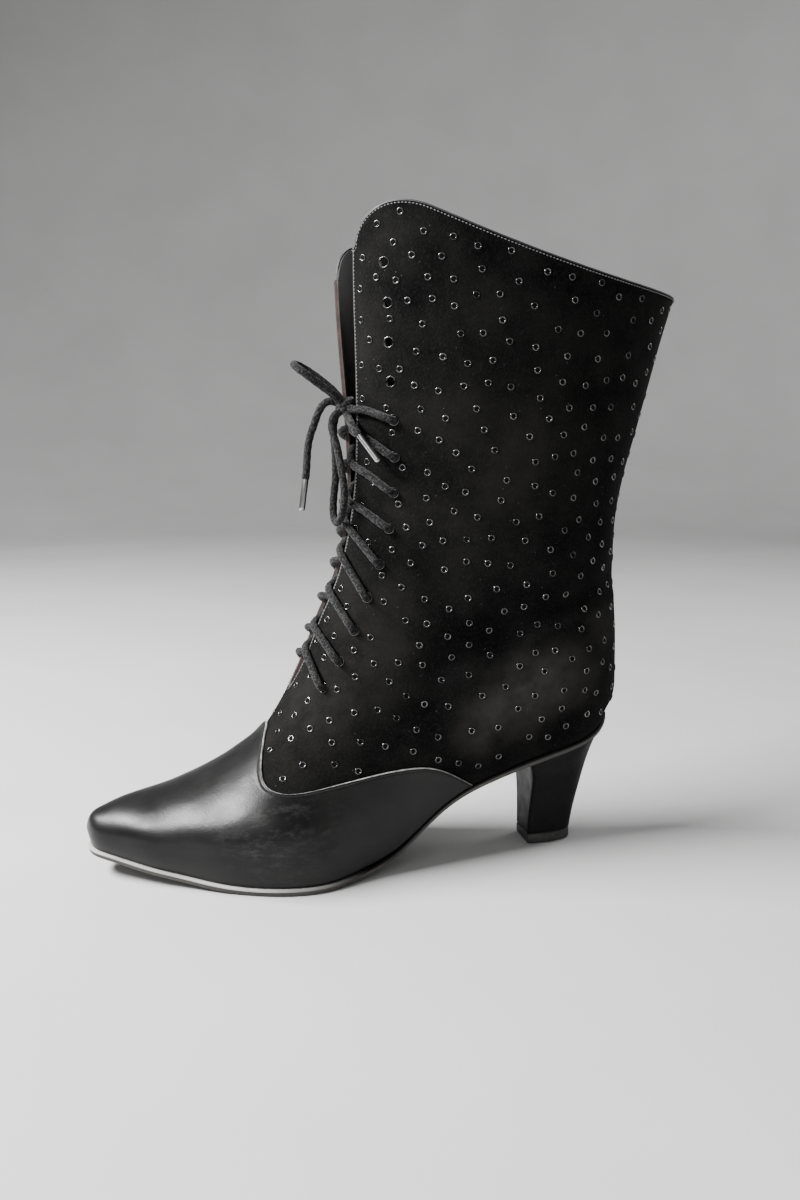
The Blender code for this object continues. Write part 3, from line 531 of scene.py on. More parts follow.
def distance_to(points, line):
    """Distance of each point to the nearest point of a dense line."""
    flat = points.reshape(-1, 3)
    near = [np.sqrt(((part[:, None] - line) ** 2).sum(axis=-1).min(axis=1))
            for part in np.array_split(flat, len(flat) // 2000 + 1)]
    return np.concatenate(near).reshape(points.shape[:-1])


def fold_height(points, folds):
    """Rise of the given folds at points, by distance from their lines in side view."""
    flat = points[..., [0, 2]]
    height = np.zeros(points.shape[:-1])
    for _, line, half_width, rise in folds:
        line = np.array(line)
        near = np.full(points.shape[:-1], 1e9)
        for start, way in zip(line, np.diff(line, axis=0)):
            share = np.clip(((flat - start) @ way) / (way @ way), 0.0, 1.0)
            near = np.minimum(near, np.linalg.norm(flat - start - share[..., None] * way, axis=-1))
        height += rise * np.exp(-(near / half_width) ** 2)
    return height


def suede_relief(points, stations, away):
    """Folds and a slight waviness that die out at the seams, at the edges and under the vamp."""
    x, y, z = points[..., 0], points[..., 1], points[..., 2]
    wave = np.sin(x / 9.5 + z / 21.0 + np.sign(y)) * np.sin(z / 17.0 - x / 26.0)
    wave += 0.6 * np.sin(x / 6.1 - z / 12.3) * np.sin(z / 8.7 + x / 15.0 + np.sign(y))
    height = (fold_height(points, FOLDS) + WAVE_HEIGHT * wave) * ease(np.abs(y), 1.0, 15.0)
    return height * ease(away, 2.0, 12.0) * ease(stations, 112.0, 140.0)


def folded_edge(distance):
    """Height of a turned-in edge: rolled at the rim, raised to the stitch groove, then flat."""
    roll = -0.55 * np.clip(1.0 - distance / 0.8, 0.0, 1.0) ** 2
    fold = 0.26 * (1.0 - ease(distance, STITCH_IN, STITCH_IN + 2.0))
    return roll + fold - 0.24 * np.exp(-((distance - STITCH_IN) / 0.42) ** 2)


# Materials
def new_finish(name, colour, roughness, tone=None, gloss=None, relief=(), **sockets):
    """A material with grain in its colour (tone), its roughness (gloss) and its bumps (relief).

    tone and gloss give a grain, its lowest and highest value that count, and what these two become.
    relief gives grains with their depths in millimetres.
    """
    made = bpy.data.materials.new(name)
    made.use_nodes = True
    shader = made.node_tree.nodes["Principled BSDF"]
    shader.inputs["Base Color"].default_value = (*colour, 1.0)
    shader.inputs["Roughness"].default_value = roughness
    for socket, value in sockets.items():
        shader.inputs[socket.replace("_", " ")].default_value = value
    for socket, plan in (("Base Color", tone), ("Roughness", gloss)):
        if plan:
            to_shader(made, socket, spread(made, grain(made, *plan[0]), *plan[1:]))
    before = None
    for settings, depth in relief:
        bump = node(made, "ShaderNodeBump", Strength=1.0, Distance=depth * MM)
        wire(made, grain(made, *settings), bump.inputs["Height"])
        if before:
            wire(made, before.outputs["Normal"], bump.inputs["Normal"])
        before = bump
    if before:
        to_shader(made, "Normal", before.outputs["Normal"])
    return made


def node(made, kind, **settings):
    new = made.node_tree.nodes.new(kind)
    for key, value in settings.items():
        if key in new.inputs:
            new.inputs[key].default_value = value
        else:
            setattr(new, key, value)
    return new


def wire(made, source, target):
    made.node_tree.links.new(source, target)


def to_shader(made, socket, value):
    wire(made, value, made.node_tree.nodes["Principled BSDF"].inputs[socket])


def on_boot(made):
    """Coordinates of the boot, which every pattern follows."""
    return node(made, "ShaderNodeTexCoord").outputs["Object"]


def grain(made, scale, detail=None, stretch=(1.0, 1.0, 1.0), roughness=0.55):
    """Noise, or without a detail the distances of cells; scale is in features per metre."""
    if detail is None:
        texture = node(made, "ShaderNodeTexVoronoi", feature="F1", Scale=scale)
        wire(made, on_boot(made), texture.inputs["Vector"])
        return texture.outputs["Distance"]
    mapping = node(made, "ShaderNodeMapping", Scale=stretch)
    texture = node(made, "ShaderNodeTexNoise", Scale=scale, Detail=detail, Roughness=roughness)
    wire(made, on_boot(made), mapping.inputs["Vector"])
    wire(made, mapping.outputs["Vector"], texture.inputs["Vector"])
    return texture.outputs["Fac"]


def near_to(made, place, inner, outer):
    """Share that falls from 1 within the inner distance of a place on the boot to 0 at the outer one."""
    apart = node(made, "ShaderNodeVectorMath", operation="DISTANCE")
    wire(made, on_boot(made), apart.inputs[0])
    apart.inputs[1].default_value = [value * MM for value in place]
    return spread(made, apart.outputs["Value"], inner * MM, outer * MM, 1.0, 0.0)


def times(made, first, second):
    """Product of two shares, or of a share and a number."""
    product = node(made, "ShaderNodeMath", operation="MULTIPLY")
    wire(made, first, product.inputs[0])
    if np.isscalar(second):
        product.inputs[1].default_value = second
    else:
        wire(made, second, product.inputs[1])
    return product.outputs["Value"]


def spread(made, value, low, high, first, last):
    """Map low to high of a value onto first to last, colours or numbers."""
    if np.isscalar(first):
        new = node(made, "ShaderNodeMapRange")
        for socket, number in (("From Min", low), ("From Max", high), ("To Min", first), ("To Max", last)):
            new.inputs[socket].default_value = number
        wire(made, value, new.inputs["Value"])
        return new.outputs["Result"]
    ramp = node(made, "ShaderNodeValToRGB")
    for stop, place, colour in zip(ramp.color_ramp.elements, (low, high), (first, last)):
        stop.position = place
        stop.color = (*colour, 1.0)
    wire(made, value, ramp.inputs["Fac"])
    return ramp.outputs["Color"]


def mixed(made, share, first, second):
    mix = node(made, "ShaderNodeMix", data_type="RGBA")
    wire(made, share, mix.inputs["Factor"])
    for socket, value in ((mix.inputs["A"], first), (mix.inputs["B"], second)):
        if isinstance(value, tuple):
            socket.default_value = (*value, 1.0)
        else:
            wire(made, value, socket)
    return mix.outputs["Result"]


suede = new_finish("suede", (0.010, 0.010, 0.010), 0.95, Sheen_Weight=0.02, Sheen_Roughness=0.50,
                   Sheen_Tint=(0.50, 0.50, 0.50, 1.0), Specular_IOR_Level=0.04,
                   relief=(((240.0, 3.0), 0.18), ((1700.0, 4.0, (1.0, 1.0, 0.5)), 0.20)))
suede_tone = spread(suede, grain(suede, 40.0, 6.0), 0.36, 0.68,
                    (0.0016, 0.0016, 0.0016), (0.0080, 0.0078, 0.0074))
patchy = spread(suede, grain(suede, 110.0, 5.0), 0.28, 0.66, 0.30, 1.0)
# Painted light and shade, place by place: lighter suede where it faces the light, darker in its hollows and
# creases.
for place, inner, outer, strength, colour in NAP_LIGHT_AND_SHADE_PLACES:
    share = times(suede, near_to(suede, place, inner, outer), strength)
    if colour is RUBBED_AND_LIT:
        share = times(suede, share, patchy)
    suede_tone = mixed(suede, share, suede_tone, colour)
lint = times(suede, spread(suede, grain(suede, 190.0), 0.03, 0.06, 1.0, 0.0), 0.55)
suede_tone = mixed(suede, lint, suede_tone, (0.10, 0.096, 0.090))
nap = spread(suede, grain(suede, 1700.0, 3.0, (1.0, 1.0, 0.6), 0.6), 0.50, 0.78, 0.0, 0.55)
to_shader(suede, "Base Color", mixed(suede, nap, suede_tone, (0.021, 0.0205, 0.0198)))

# Folded edge of the suede: smoother, and its lighter grey is a painted highlight where the edge catches the
# light.
folded_suede_highlight = new_finish("folded_suede_highlight", (0.022, 0.022, 0.022), 0.60, relief=(((900.0, 4.0), 0.08),))
raw_edge = new_finish(
    "raw_edge", (0.050, 0.024, 0.018), 0.65, relief=(((1400.0, 3.0), 0.06),),
    tone=((160.0, 5.0), 0.30, 0.70, (0.014, 0.009, 0.008), (0.056, 0.027, 0.021)))

leather = new_finish(
    "smooth_leather", (0.005, 0.005, 0.0053), 0.38, Specular_IOR_Level=0.21,
    gloss=((110.0, 3.0, (0.6, 1.0, 1.0), 0.5), 0.32, 0.72, 0.30, 0.41),
    relief=(((60.0, 2.0), 0.20), ((230.0, 4.0), 0.045), ((1100.0,), 0.020), ((2400.0, 3.0), 0.014)))
leather_tone = spread(leather, grain(leather, 48.0, 6.0, (1.0, 1.0, 1.6)), 0.34, 0.72,
                      (0.0035, 0.0035, 0.0038), (0.009, 0.0088, 0.0085))
streaks = spread(leather, grain(leather, 170.0, 7.0, (0.5, 1.0, 1.4), 0.75), 0.50, 0.74, 0.0, 1.0)
scuffs = times(leather, times(leather, streaks, near_to(leather, SCUFF_PLACE, 6.0, 34.0)), 0.8)
to_shader(leather, "Base Color", mixed(leather, scuffs, leather_tone, (0.055, 0.053, 0.051)))

# Rim of the vamp's folded edge: its light grey is a painted highlight along the edge.
vamp_rim_highlight = new_finish("vamp_rim_highlight", (0.12, 0.118, 0.115), 0.38, tone=(
    (420.0, 4.0), 0.32, 0.70, (0.12, 0.118, 0.116), (0.36, 0.354, 0.346)))
heel_leather = new_finish(
    "heel_leather", (0.0025, 0.0025, 0.0025), 0.55, Specular_IOR_Level=0.12,
    gloss=((130.0, 5.0), 0.30, 0.70, 0.42, 0.60), relief=(((400.0, 4.0), 0.06), ((1200.0,), 0.04)))
lining = new_finish(
    "lining", (0.016, 0.015, 0.0145), 0.60, Specular_IOR_Level=0.35, relief=(((700.0, 5.0), 0.06),),
    tone=((90.0, 5.0), 0.30, 0.75, (0.010, 0.0095, 0.009), (0.026, 0.0245, 0.0235)))
insole_leather = new_finish(
    "insole_leather", (0.05, 0.032, 0.024), 0.58, Specular_IOR_Level=0.35, relief=(((800.0, 4.0), 0.05),),
    tone=((60.0, 6.0, (0.5, 1.0, 1.0)), 0.32, 0.72, (0.030, 0.020, 0.015), (0.085, 0.056, 0.042)))
SOLE_WEAR = (45.0, 7.0, (0.4, 1.0, 1.0), 0.65)
sole_leather = new_finish(
    "sole_leather", (0.030, 0.024, 0.020), 0.55, relief=(((600.0, 5.0, (0.3, 1.0, 1.0)), 0.08),),
    tone=(SOLE_WEAR, 0.42, 0.74, (0.014, 0.013, 0.012), (0.075, 0.062, 0.050)),
    gloss=(SOLE_WEAR, 0.40, 0.70, 0.42, 0.72))

# Upper band of the sole's edge: a pale edge finish with a painted highlight where the bevel catches the light;
# dark towards the heel, pale from PALE_EDGE_FULL to the toe.
EDGE_GRAIN = (320.0, 5.0, (0.2, 0.2, 1.6), 0.65)
sole_edge = new_finish("sole_edge", (0.30, 0.29, 0.28), 0.55, Specular_IOR_Level=0.15,
                       relief=((EDGE_GRAIN, 0.08),))
edge_split = node(sole_edge, "ShaderNodeSeparateXYZ")
wire(sole_edge, on_boot(sole_edge), edge_split.inputs["Vector"])
forward = spread(sole_edge, edge_split.outputs["X"], PALE_EDGE_FROM * MM, PALE_EDGE_FULL * MM, 0.0, 1.0)
pale_edge_and_highlight = spread(sole_edge, grain(sole_edge, *EDGE_GRAIN), 0.30, 0.75,
                   (0.26, 0.255, 0.25), (0.48, 0.47, 0.455))
to_shader(sole_edge, "Base Color", mixed(sole_edge, forward, (0.004, 0.004, 0.004), pale_edge_and_highlight))

RUBBER_WEAR = (420.0, 6.0)
rubber = new_finish(
    "rubber", (0.022, 0.022, 0.022), 0.70, relief=((RUBBER_WEAR, 0.06), ((2400.0, 2.0), 0.04)),
    tone=(RUBBER_WEAR, 0.35, 0.75, (0.016, 0.016, 0.016), (0.050, 0.048, 0.046)))
METAL_STAIN = (210.0, 3.0)
eyelet_metal = new_finish(
    "eyelet_metal", (0.20, 0.20, 0.205), 0.26, Metallic=1.0, gloss=(METAL_STAIN, 0.36, 0.68, 0.24, 0.15),
    tone=(METAL_STAIN, 0.36, 0.68, (0.030, 0.030, 0.031), (0.16, 0.158, 0.155)))
AGLET_SCRATCH = (900.0, 4.0, (1.0, 1.0, 0.2))
aglet_metal = new_finish("aglet_metal", (0.38, 0.375, 0.37), 0.24, Metallic=1.0,
                         gloss=(AGLET_SCRATCH, 0.30, 0.75, 0.15, 0.30), relief=((AGLET_SCRATCH, 0.012),))
# Black pit inside each eyelet ring: painted shade for the hole's dark inside.
pit_painted_shade = new_finish("pit_painted_shade", (0.0025, 0.0025, 0.0025), 0.95, Specular_IOR_Level=0.1,
                       relief=(((1800.0, 2.0), 0.05),))
TWIST = (((3800.0, 2.0), 0.03),)
# Collar thread: light grey, partly a painted highlight where the stitches catch the light.
thread = new_finish("thread", (0.10, 0.10, 0.102), 0.60, Sheen_Weight=0.15, Sheen_Roughness=0.4, relief=TWIST)
black_thread = new_finish("black_thread", (0.006, 0.006, 0.006), 0.60, relief=TWIST)
cotton = new_finish(
    "cord_cotton", (0.024, 0.024, 0.025), 0.90, Sheen_Weight=0.12, Sheen_Roughness=0.45,
    Sheen_Tint=(0.6, 0.6, 0.62, 1.0), Specular_IOR_Level=0.20, relief=(((1500.0, 4.0), 0.12),),
    tone=((1050.0,), 0.10, 0.62, (0.042, 0.041, 0.040), (0.0022, 0.0022, 0.0024)))


# Vamp line on each side
vamp_line = np.array(VAMP_EDGE)
vamp_run = arc_lengths(vamp_line)
vamp_fine = natural_spline(vamp_run, vamp_line)(np.linspace(0.0, vamp_run[-1], 240))
vamp_places = {side: np.array([find(x, z, side) for x, z in vamp_fine]) for side in SIDES}
vamp_reach = {side: np.maximum.accumulate(vamp_places[side][:, 1]) for side in SIDES}
for reach in vamp_reach.values():
    reach[0] = 0.0


def vamp_station(around, side):
    """Station of the vamp's edge over an around."""
    return np.interp(around, vamp_reach[side], vamp_places[side][:, 0])


# Quarters of pierced suede
QUARTER_ROWS = 120
QUARTER_COLUMNS = 84
UNDERLAP = 9.0
SUEDE_DEPTH = 0.9
FOLDED_WIDTH = 1.0


def quarter_places(side):
    """Stations and arounds of a quarter's grid, dense along the throat and the collar."""
    stations, arounds = [], []
    spare = QUARTER_COLUMNS - len(EDGE_STEPS)
    for column in range(QUARTER_COLUMNS):
        from_edge = EDGE_STEPS[min(column, len(EDGE_STEPS) - 1)]
        share = max(0, column - len(EDGE_STEPS) + 1) / spare

        def around_of(station):
            edge = throat_around(station, side)
            step = skin(station, edge + 0.004, side) - skin(station, edge, side)
            begin = edge + 0.004 * from_edge / np.linalg.norm(step, axis=-1)
            return begin + (1.0 - begin) * share

        first = 80.0
        for _ in range(12):
            first = float(vamp_station(around_of(first), side)) - UNDERLAP
        dense = np.linspace(first, collar_station(around_of, side, 0.0), 700)
        run = arc_lengths(skin(dense, around_of(dense), side))
        main = np.linspace(0.0, run[-1] - EDGE_STEPS[-1], QUARTER_ROWS - len(EDGE_STEPS) + 1)[:-1]
        at = np.interp(np.concatenate((main, run[-1] - EDGE_STEPS[::-1])), run, dense)
        stations.append(at)
        arounds.append(around_of(at))
    return np.stack(stations, axis=1), np.stack(arounds, axis=1)


quarter = {}
for side in SIDES:
    stations, arounds = quarter_places(side)
    base = skin(stations, arounds, side)
    normal = outward(stations, arounds, side)
    opened = stations[:, 0] > THROAT_STATION
    both = np.concatenate((base, normal), axis=-1)
    border = evenly(np.concatenate((both[opened, 0], both[-1, 1:])), 0.45)
    away = distance_to(base, border[:, :3])
    relief = suede_relief(base, stations, away)
    quarter[side] = {
        "stations": stations, "arounds": arounds, "base": base, "border": border, "away": away,
        "outer": base + normal * (relief + folded_edge(away))[..., None],
        "inner": base + normal * (relief - SUEDE_DEPTH)[..., None],
    }

points, faces, tags = closed_sheets(
    [(quarter[side]["outer"], quarter[side]["inner"]) for side in SIDES], (1, 1, 1, 2))
# Faces near the quarters' edges get the folded edge's painted highlight.
for number, side in enumerate(SIDES):
    near_edge = (quarter[side]["away"][:-1, :-1] < FOLDED_WIDTH).ravel()
    begin = number * len(tags) // 2
    tags[begin:begin + len(near_edge)] = near_edge.astype(int).tolist()
quarters = add_piece(
    "quarters", (points, faces, tags), (suede, folded_suede_highlight, raw_edge), ("upper",), weld=0.03)


# Lining of the whole inside, toe to collar
def lining_sheet(side, lift, rows=90, columns=44):
    sheet = []
    for share in np.linspace(0.0, 1.0, columns):
        def around_of(station):
            edge = throat_around(station, side)
            return edge + (1.0 - edge) * share

        stations = collar_station(around_of, side, 0.5) * np.linspace(0.0, 1.0, rows) ** 1.1
        around = around_of(stations)
        base = skin(stations, around, side)
        relief = suede_relief(base, stations, distance_to(base, quarter[side]["border"][:, :3]))
        sheet.append(lifted(stations, around, side, lift + relief))
    return np.stack(sheet, axis=1)


lining_sheets = [(lining_sheet(side, -LINING_DEPTH), lining_sheet(side, -WALL)) for side in SIDES]
shoe_lining = add_piece(
    "shoe_lining", closed_sheets(lining_sheets, (0, 0, 0, 1)), (lining, raw_edge), weld=0.03)


# Lace holes
def hole_place(x, z, side):
    """Station and around of a lace hole; those of the inner quarter lie further forward."""
    forward = MEDIAL_LEAD * float(ease(z, LEAD_FROM_Z, LEAD_TO_Z)) if side < 0 else 0.0
    return find(x + forward, z, side)


PUNCH_PROFILE = ((1.0, -4.0), (1.0, 4.0))
HOLE_SIDES = 28
hole_places = {side: [hole_place(x, z, side) for x, z in LACE_HOLES] for side in SIDES}
all_holes = [(*place, side) for side in SIDES for place in hole_places[side]]
punch_places = [(skin(*place), unit(outward(*place))) for place in all_holes]
punch = new_object(
    "lace_hole_punch", *turned_rings(punch_places, PUNCH_PROFILE, LACE_PUNCH, False, HOLE_SIDES))
for piece in (quarters, shoe_lining):
    cut = piece.modifiers.new("lace_holes", "BOOLEAN")
    cut.operation = "DIFFERENCE"
    cut.solver = "EXACT"
    cut.object = punch
    shown = piece.evaluated_get(bpy.context.evaluated_depsgraph_get())
    punched = bpy.data.meshes.new_from_object(shown)
    piece.modifiers.clear()
    piece.data = punched
    punched.shade_smooth()
    punched.set_sharp_from_angle(angle=math.radians(50))
bpy.data.objects.remove(punch, do_unlink=True)


# Eyelet rings, scattered over the suede with an even least distance
EYELET_SEED = 23
EYELET_TRIES = 9000
EYELET_FROM_BORDER = 4.4
EYELET_FROM_VAMP = 3.4
EYELET_FROM_HOLE = 4.6
EYELET_FROM_SEAM = 2.4
EYELET_BEHIND_VAMP = 2.5
EYELET_LOWEST = 0.86


def eyelet_places():
    """Station, around and side of each eyelet, clear of the edges, the holes and each other."""
    draw = np.random.default_rng(EYELET_SEED)
    found = []
    taken = np.empty((0, 3))
    for side in SIDES:
        part = quarter[side]
        base = part["base"]
        edges = np.cross(base[1:, :-1] - base[:-1, :-1], base[:-1, 1:] - base[:-1, :-1])
        area = np.linalg.norm(edges, axis=-1).ravel()
        picks = draw.choice(len(area), EYELET_TRIES, p=area / area.sum())
        row, column = np.divmod(picks, base.shape[1] - 1)
        station = part["stations"][row, column] + draw.uniform(-1.0, 1.0, len(picks))
        around = part["arounds"][row, column] + draw.uniform(-0.005, 0.005, len(picks))
        point = skin(station, around, side)
        ok = station > vamp_station(around, side) + EYELET_BEHIND_VAMP
        ok &= np.abs(point[:, 1]) > EYELET_FROM_SEAM
        ok &= (station > HEEL_STATION) | (around < EYELET_LOWEST)
        for line, least in (
            (part["border"][:, :3], EYELET_FROM_BORDER),
            (evenly(skin(*vamp_places[side].T, side), 0.6), EYELET_FROM_VAMP),
            (np.array([skin(*place, side) for place in hole_places[side]]), EYELET_FROM_HOLE),
        ):
            ok &= distance_to(point, line) > least
        for s, a, p in zip(station[ok], around[ok], point[ok]):
            if len(taken) == 0 or np.min(((taken - p) ** 2).sum(axis=1)) > EYELET_SPACING ** 2:
                taken = np.vstack((taken, p))
                found.append((s, a, side))
    return found


# Profiles of the metal rings: share of the outer radius, height over the suede.
EYELET_RING = ((1.00, -0.25), (1.00, 0.04), (0.965, 0.20), (0.89, 0.31),
               (0.78, 0.35), (0.67, 0.31), (0.58, 0.19), (0.54, -0.08))
# The pit is a black disc in each ring, painted shade for the hole.
EYELET_PIT = ((0.62, -0.2), (0.62, 0.06))
LACE_RING = ((1.00, -0.25), (0.985, 0.08), (0.93, 0.22), (0.84, 0.23), (0.77, 0.10), (0.73, -0.60))
suede_trees = {}
for side in SIDES:
    outer = quarter[side]["outer"]
    suede_trees[side] = BVHTree.FromPolygons(outer.reshape(-1, 3).tolist(), grid_faces(*outer.shape[:2]))


def on_suede(station, around, side, spread_out=1.2):
    """Place on the finished suede and the way out there, evened over a few millimetres."""
    base = skin(station, around, side)
    out = outward(station, around, side)
    first = unit(np.cross(out, (0.0, 0.0, 1.0)))
    second = np.cross(out, first)
    spots = [suede_trees[side].find_nearest(Vector(base + spread_out * (a * first + b * second)))
             for a, b in ((0, 0), (1, 0), (-1, 0), (0, 1), (0, -1))]
    ways = np.array([spot[1] for spot in spots])
    return np.array(spots[0][0]), unit((ways * np.sign(ways @ out)[:, None]).sum(axis=0))


eyelets = [on_suede(*place) for place in eyelet_places()]
lace_eyelets = [on_suede(*place, 2.8) for place in all_holes]
add_piece("eyelet_rings", turned_rings(eyelets, EYELET_RING, EYELET_OUTER), eyelet_metal)
add_piece("eyelet_pits", turned_rings(eyelets, EYELET_PIT, EYELET_OUTER, False), pit_painted_shade, sharp=40)
lace_rings = turned_rings(lace_eyelets, LACE_RING, LACE_EYELET_OUTER, True, HOLE_SIDES)
add_piece("lace_eyelets", lace_rings, eyelet_metal)

# Stitches: place and width of their rings in shares of length and radius, then pitch, length and radius
STITCH_RINGS = ((-0.38, 0.75), (0.0, 1.0), (0.38, 0.75))
COLLAR_STITCH = (1.62, 1.15, 0.27)
COLLAR_STITCH_INSIDE = (1.62, 1.15, 0.20)
VAMP_STITCH = (1.2, 0.95, 0.20)
STITCH_PROUD = 0.16


def stitch_row(line, normals, pitch, length, radius, sides=6):
    """Small sunken stitches along a line, each a shape of its own."""
    run = arc_lengths(line)
    stitches = []
    for middle in (np.arange(int(run[-1] / pitch)) + 0.5) * pitch:
        place, before, after = read_along(middle + np.array([0.0, -0.3, 0.3]), run, line)
        way = unit(after - before)
        out = read_along(middle, run, normals)
        out = unit(out - np.dot(out, way) * way)
        ring = radius * circle(out, np.cross(way, out), sides)
        rings = [place + way * length * share + ring * wide for share, wide in STITCH_RINGS]
        ends = [place + way * half - out * radius for half in (-length / 2.0, length / 2.0)]
        stitches.append(stacked(rings, ends))
    return stitches


def inset_line(border, inset, side, lift):
    """Line at a distance inside a border that carries its normals, moved out by lift."""
    line, normals = border[:, :3], border[:, 3:]
    inward = unit(np.cross(np.gradient(line, axis=0), normals) * side)
    return line + inward * inset + normals * lift, normals


collar_stitches = []
for side in SIDES:
    line, normals = inset_line(quarter[side]["border"], STITCH_IN, side, STITCH_PROUD)
    within = line - normals * (WALL + STITCH_PROUD + 0.04)
    collar_stitches += stitch_row(line, normals, *COLLAR_STITCH)
    collar_stitches += stitch_row(within, -normals, *COLLAR_STITCH_INSIDE)
add_piece("collar_stitches", joined(collar_stitches), thread)

# Vamp
VAMP_EDGE_STEPS = np.array([0.0, 0.08, 0.22, 0.45, 0.75, 1.05, 1.25, 1.45, 1.9, 2.6, 3.6])
VAMP_ROWS = 96
VAMP_COLUMNS = 66
VAMP_RIM_ROWS = 3
TOE_RUN = 60.0


def vamp_grid(side):
    """Stations and arounds of half the vamp, dense at the toe and along the edge."""
    stations = []
    arounds = np.linspace(0.0, 1.0, VAMP_COLUMNS) ** 1.05 * VAMP_LOWEST
    for around in arounds:
        last = float(vamp_station(around, side))
        toe = min(TOE_RUN, last)
        dense = np.concatenate((np.linspace(0.0, 1.0, 260) ** 1.7 * toe, np.linspace(toe, last, 400)[1:]))
        run = arc_lengths(skin(dense, np.full_like(dense, around), side))
        main = np.linspace(0.0, 1.0, VAMP_ROWS - len(VAMP_EDGE_STEPS) + 1)[:-1] ** 1.25
        at = np.concatenate((main * (run[-1] - VAMP_EDGE_STEPS[-1]), run[-1] - VAMP_EDGE_STEPS[::-1]))
        stations.append(np.interp(at, run, dense))
    stations = np.stack(stations, axis=1)
    return stations, np.broadcast_to(arounds, stations.shape)


def vamp_edge_height(distance):
    """Turned-in vamp edge: round rim, a groove under the stitches."""
    rim = -VAMP_THICKNESS * (1.0 - np.sqrt(1.0 - np.clip(1.0 - distance / 0.75, 0.0, 1.0) ** 2))
    groove = -0.20 * np.exp(-((distance - VAMP_STITCH_IN) / 0.28) ** 2)
    return rim + groove + 0.10 * (1.0 - ease(distance, 1.6, 3.4))


def vamp_half(side):
    """Outer and inner sheet of half the vamp, and its border with normals."""
    stations, arounds = vamp_grid(side)
    base = skin(stations, arounds, side)
    normal = outward(stations, arounds, side)
    border = evenly(np.concatenate((base[-1], normal[-1]), axis=1), 0.4)
    away = distance_to(base, border[:, :3])
    relief = fold_height(base, FLEX_MARKS) * ease(np.abs(base[..., 1]), 0.0, 10.0)
    outer = base + normal * (VAMP_CLEAR + VAMP_THICKNESS + relief + vamp_edge_height(away))[..., None]
    return outer, base + normal * VAMP_CLEAR, border


def joined_halves(inner_side, outer_side):
    """Both halves over the ridge, with the toe's front line brought together."""
    sheet = np.concatenate((inner_side[:, :0:-1], outer_side), axis=1)
    half = (sheet.shape[1] - 1) // 2
    middle = 0.5 * (sheet[0, half:] + sheet[0, half::-1])
    sheet[0, half:] = middle
    sheet[0, :half] = middle[:0:-1]
    sheet[:, half] = 0.5 * (inner_side[:, 0] + outer_side[:, 0])
    return sheet


vamp_halves = {side: vamp_half(side) for side in SIDES}
vamp_sheets = [joined_halves(vamp_halves[-1][layer], vamp_halves[1][layer]) for layer in (0, 1)]
points, faces, tags = closed_sheets([vamp_sheets], (None, 0, 1, 0))
row_cells = vamp_sheets[0].shape[1] - 1
rim_end = (VAMP_ROWS - 1) * row_cells
# The last rows along the vamp's edge get the rim's painted highlight.
tags[rim_end - VAMP_RIM_ROWS * row_cells:rim_end] = [1] * (VAMP_RIM_ROWS * row_cells)
add_piece("vamp_leather", (points, faces, tags), (leather, vamp_rim_highlight), ("vamp",), weld=0.01)

vamp_stitches = []
for side in SIDES:
    row = inset_line(vamp_halves[side][2], VAMP_STITCH_IN, side, VAMP_CLEAR + VAMP_THICKNESS - 0.02)
    vamp_stitches += stitch_row(*row, *VAMP_STITCH)
add_piece("vamp_stitches", joined(vamp_stitches), black_thread)

# Tongue: lift of its two sheets, and how far they draw together along the edge
TONGUE_SHEETS = ((-WALL - TONGUE_CLEAR, -0.6), (-WALL - TONGUE_CLEAR - TONGUE_THICKNESS, 0.6))


def tongue_half(side, lift, thin):
    stations = np.linspace(station_of_top(TONGUE_FOOT_Z), station_of_top(TONGUE_TOP_Z), 110)
    width = body_at(stations)[:, 3 if side > 0 else 4]
    up = (stations - stations[0]) / (stations[-1] - stations[0])
    half = TONGUE_HALF * (1.0 - 0.35 * ease(up, 0.96, 1.0) ** 2)
    reach = np.arcsin(half / width) / math.pi
    columns = []
    for share in np.linspace(0.0, 1.0, 22):
        sag = 0.25 * np.sin(stations / 13.0) * (1.0 - share ** 2)
        lift_here = lift + sag + thin * ease(share, 0.88, 1.0)
        columns.append(lifted(stations, reach * share, side, lift_here, False))
    return np.stack(columns, axis=1)


tongue_sheets = [np.concatenate((tongue_half(-1, *sheet)[:, :0:-1], tongue_half(1, *sheet)), axis=1)
                 for sheet in TONGUE_SHEETS]
add_piece("tongue_leather", closed_sheets([tongue_sheets]), leather, ("tongue",), weld=0.01)


# Sole and insole
def feather_line(station, side, grow):
    """Plan point of the feather line moved out by grow, at the line's height."""
    def plan(at):
        edge = edge_at(at)
        ridge = body_at(np.clip(at, 0.0, HEEL_STATION))[..., 2]
        return np.stack((edge[..., 0], ridge + side * edge[..., 2 if side > 0 else 3]), axis=-1)

    run = plan(station + 0.3) - plan(station - 0.3)
    away = unit(np.stack((-run[..., 1], run[..., 0]), axis=-1) * -side)
    moved = plan(station) + np.asarray(grow)[..., None] * away
    return np.concatenate((moved, edge_at(station)[..., 1:2]), axis=-1)


SOLE_STEPS = 150
even_share = np.linspace(0.0, 1.0, SOLE_STEPS + 1)
sole_at = HEEL_STATION * (0.7 * (0.5 - 0.5 * np.cos(math.pi * even_share)) + 0.3 * even_share)
ledge = SOLE_LEDGE_WAIST + (SOLE_LEDGE_FOREFOOT - SOLE_LEDGE_WAIST) * (
    1.0 - ease(edge_at(sole_at)[:, 0], 105.0, 50.0))


def outline(grow, drop):
    """Closed outline of the sole: lateral side toe to heel, then medial side back."""
    outer = feather_line(sole_at, 1, grow)
    inner = feather_line(sole_at, -1, grow)
    for end in (0, -1):
        outer[end] = inner[end] = 0.5 * (outer[end] + inner[end])
    loop = np.concatenate((outer, inner[-2:0:-1]))
    loop[:, 2] = np.maximum(loop[:, 2] - drop, 0.0)
    return loop


